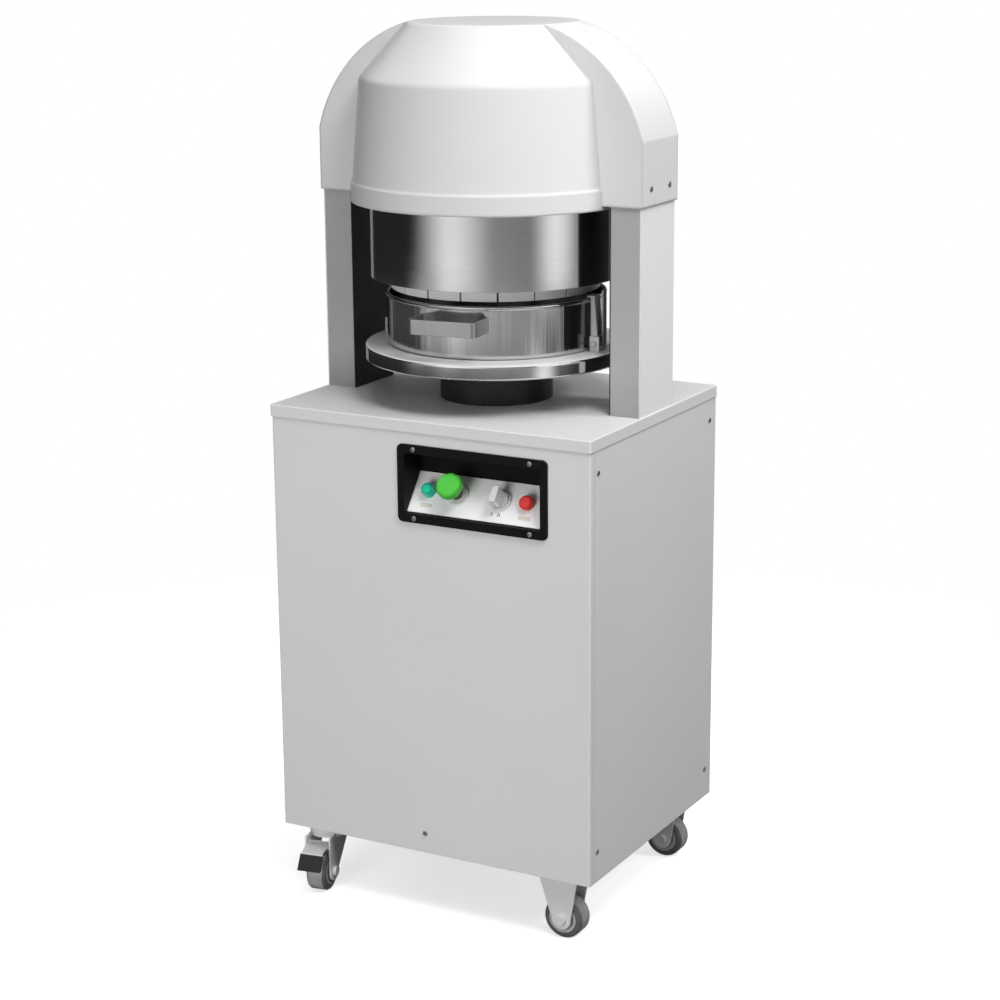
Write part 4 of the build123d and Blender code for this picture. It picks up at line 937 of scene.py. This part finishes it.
class DIVIDER_OT_stage(bpy.types.Operator):
    """Set floor, lamps, world and camera"""

    bl_idname = "divider.stage"
    bl_label = "Set stage"

    def execute(self, context):
        stage = settings().stage
        self.floor(stage)
        # Glowing screen that paints reflections and highlights on the steel
        self.surround()
        self.world(context.scene, stage)
        for name, level, place, target, size in LAMPS:
            self.lamp(name, place, target, size, getattr(stage, level))
        self.camera(context.scene, stage)
        context.scene.view_settings.view_transform = "Standard"
        return {"FINISHED"}

    def mesh_object(self, name, verts, faces, material):
        """Add a piece of the stage."""
        mesh = bpy.data.meshes.new(name)
        mesh.from_pydata(verts, [], faces)
        mesh.materials.append(material)
        thing = bpy.data.objects.new(name, mesh)
        bpy.context.scene.collection.objects.link(thing)
        return thing

    def floor(self, stage):
        """Pale floor that keeps the shadow near the machine and goes over to white."""
        material = blank("Floor")
        nodes = Nodes(material.node_tree)
        lit = nodes.node("ShaderNodeBsdfDiffuse", {"Color": rgba([stage.floor_tone] * 3)})
        glow = nodes.node("ShaderNodeEmission", {"Strength": stage.floor_glow})
        near = nodes.node("ShaderNodeAddShader", {
            0: lit.outputs["BSDF"],
            1: glow.outputs["Emission"],
        })
        far = nodes.node("ShaderNodeEmission")
        dim = nodes.node("ShaderNodeBsdfDiffuse", {"Color": rgba([stage.bounce] * 3)})
        reach = nodes.node("ShaderNodeVectorMath", {0: nodes.place()}, operation="LENGTH")
        fade = nodes.ramp(reach.outputs["Value"], stage.fade_start, stage.fade_end, smooth=True)
        seen = nodes.choose(fade, near.outputs["Shader"], far.outputs["Emission"])
        path = nodes.node("ShaderNodeLightPath").outputs
        surface = nodes.choose(path["Is Camera Ray"], dim.outputs["BSDF"], seen)
        nodes.node("ShaderNodeOutputMaterial", {"Surface": surface})
        square = [(-1, -1), (1, -1), (1, 1), (-1, 1)]
        corners = [(FLOOR_REACH * x, FLOOR_REACH * y, 0) for x, y in square]
        self.mesh_object("floor", corners, [(0, 1, 2, 3)], material)

    def surround(self):
        """Glowing round screen that only shiny surfaces see, which paints their reflections and
        highlights, with levels of its own at each height.
        """
        material = blank("Painted reflections")
        nodes = Nodes(material.node_tree)
        spot = nodes.split(nodes.place())
        height = spot["Z"]
        angle = nodes.math("ARCTAN2", spot["X"], nodes.math("MULTIPLY", spot["Y"], -1.0))
        share = nodes.ramp(angle, -math.pi, math.pi)
        edge, pan, sleeve, side = (
            self.lobes(nodes, share, stops)
            for stops in (EDGE_REFLECTION_LEVELS, PAN_REFLECTION_LEVELS, SLEEVE_REFLECTION_LEVELS, SIDE_HIGHLIGHT_LEVELS)
        )
        lower = nodes.mix(nodes.ramp(height, *EDGE_TO_PAN, smooth=True), edge, pan)
        body = nodes.mix(nodes.ramp(height, *PAN_TO_SLEEVE, smooth=True), lower, sleeve)
        reach = nodes.ramp(height, *SIDE_START, smooth=True)
        level = nodes.math("MULTIPLY_ADD", side, reach, body)
        glow = nodes.node("ShaderNodeEmission", {"Strength": level})
        nodes.node("ShaderNodeOutputMaterial", {"Surface": glow.outputs["Emission"]})
        verts, faces = [], []
        for step, (cosine, sine) in enumerate(circle(SCREEN_STEPS)):
            x, y = SCREEN_RADIUS * sine, -SCREEN_RADIUS * cosine
            verts += [(x, y, SCREEN_FOOT), (x, y, SCREEN_TOP)]
            after = (step + 1) % SCREEN_STEPS
            faces.append((2 * step, 2 * after, 2 * after + 1, 2 * step + 1))
        wall = self.mesh_object("surround", verts, faces, material)
        wall.visible_camera = False
        wall.visible_diffuse = False
        wall.visible_shadow = False
        wall.visible_transmission = False
        wall.visible_volume_scatter = False

    def lobes(self, nodes, share, stops):
        """Levels of the painted reflections over the angle from the front in degrees, with soft
        passages.
        """
        ramp = nodes.node("ShaderNodeValToRGB", {"Fac": share})
        ramp.color_ramp.interpolation = "EASE"
        marks = ramp.color_ramp.elements
        while len(marks) < len(stops):
            marks.new(0.5)
        for mark, (degrees, level) in zip(marks, stops):
            mark.position = (degrees + 180) / 360
            mark.color = (level, level, level, 1)
        return ramp.outputs["Color"]

    def world(self, scene, stage):
        """White to the camera and in reflections, and a soft light from above."""
        world = bpy.data.worlds.new("Studio")
        world.use_nodes = True
        nodes = Nodes(world.node_tree)
        path = nodes.node("ShaderNodeLightPath").outputs
        seen = nodes.math("MAXIMUM", path["Is Camera Ray"], path["Is Glossy Ray"])
        either = nodes.math("MAXIMUM", seen, path["Is Transmission Ray"])
        way = nodes.split(nodes.node("ShaderNodeTexCoord").outputs["Generated"])
        level = nodes.ramp(way["Z"], 0.0, 1.0, high=stage.zenith)
        soft = nodes.node("ShaderNodeBackground", {"Color": WHITE, "Strength": level})
        white = nodes.node("ShaderNodeBackground", {"Color": WHITE})
        surface = nodes.choose(either, soft.outputs["Background"], white.outputs["Background"])
        nodes.node("ShaderNodeOutputWorld", {"Surface": surface})
        scene.world = world

    def lamp(self, name, place, target, size, level):
        """Soft square lamp without a mirror image, with a level on a surface that faces it."""
        light = bpy.data.lights.new(name, "AREA")
        light.shape = "SQUARE"
        light.size = size
        way = Vector(target) - Vector(place)
        light.energy = level * (math.pi * way.length) ** 2
        thing = bpy.data.objects.new(name, light)
        turn = way.to_track_quat("-Z", "Y").to_matrix().to_4x4()
        thing.matrix_world = Matrix.Translation(place) @ turn
        thing.visible_glossy = False
        bpy.context.scene.collection.objects.link(thing)

    def camera(self, scene, stage):
        """Camera at the photograph's angle."""
        angles = (stage.azimuth, stage.elevation, stage.roll)
        az, el, roll = (math.radians(angle) for angle in angles)
        back = Vector((math.sin(az) * math.cos(el), -math.cos(az) * math.cos(el), math.sin(el)))
        right = Vector((math.cos(az), math.sin(az), 0))
        up = back.cross(right)
        target = right * stage.shift + Vector((0, 0, PLATE_TOP - stage.drop))
        side = math.cos(roll) * right + math.sin(roll) * up
        top = -math.sin(roll) * right + math.cos(roll) * up
        data = bpy.data.cameras.new("Camera")
        data.lens = stage.lens
        data.sensor_width = SENSOR_WIDTH
        data.clip_end = CLIP_END
        thing = bpy.data.objects.new("Camera", data)
        turn = Matrix((side, top, back)).transposed().to_4x4()
        thing.matrix_world = Matrix.Translation(target + back * stage.distance) @ turn
        scene.collection.objects.link(thing)
        scene.camera = thing


class DividerSettings(bpy.types.PropertyGroup):
    """All settings of the dressing."""

    finish: PointerProperty(type=DividerFinish)
    marks: PointerProperty(type=DividerMarks)
    screws: PointerProperty(type=DividerScrews)
    wheels: PointerProperty(type=DividerWheels)
    stage: PointerProperty(type=DividerStage)


OPERATORS = (
    DIVIDER_OT_cabinet,
    DIVIDER_OT_hood,
    DIVIDER_OT_head,
    DIVIDER_OT_drive,
    DIVIDER_OT_controls,
    DIVIDER_OT_marks,
    DIVIDER_OT_screws,
    DIVIDER_OT_casters,
    DIVIDER_OT_stage,
)


class DIVIDER_PT_panel(bpy.types.Panel):
    """Lists the steps of the dressing"""

    bl_idname = "DIVIDER_PT_panel"
    bl_label = "Dough divider"
    bl_space_type = "VIEW_3D"
    bl_region_type = "UI"
    bl_category = "Divider"

    def draw(self, context):
        for operator in OPERATORS:
            self.layout.operator(operator.bl_idname)


GROUPS = (
    DividerFinish,
    DividerMarks,
    DividerScrews,
    DividerWheels,
    DividerStage,
    DividerSettings,
)
CLASSES = GROUPS + OPERATORS + (DIVIDER_PT_panel,)


def register():
    for group in CLASSES:
        bpy.utils.register_class(group)
    bpy.types.Scene.divider = PointerProperty(type=DividerSettings)


def unregister():
    del bpy.types.Scene.divider
    for group in reversed(CLASSES):
        bpy.utils.unregister_class(group)


def main():
    register()
    bpy.ops.divider.cabinet()
    bpy.ops.divider.hood()
    bpy.ops.divider.head()
    bpy.ops.divider.drive()
    bpy.ops.divider.controls()
    bpy.ops.divider.marks()
    bpy.ops.divider.screws()
    bpy.ops.divider.casters()
    bpy.ops.divider.stage()


if __name__ == "__main__":
    main()
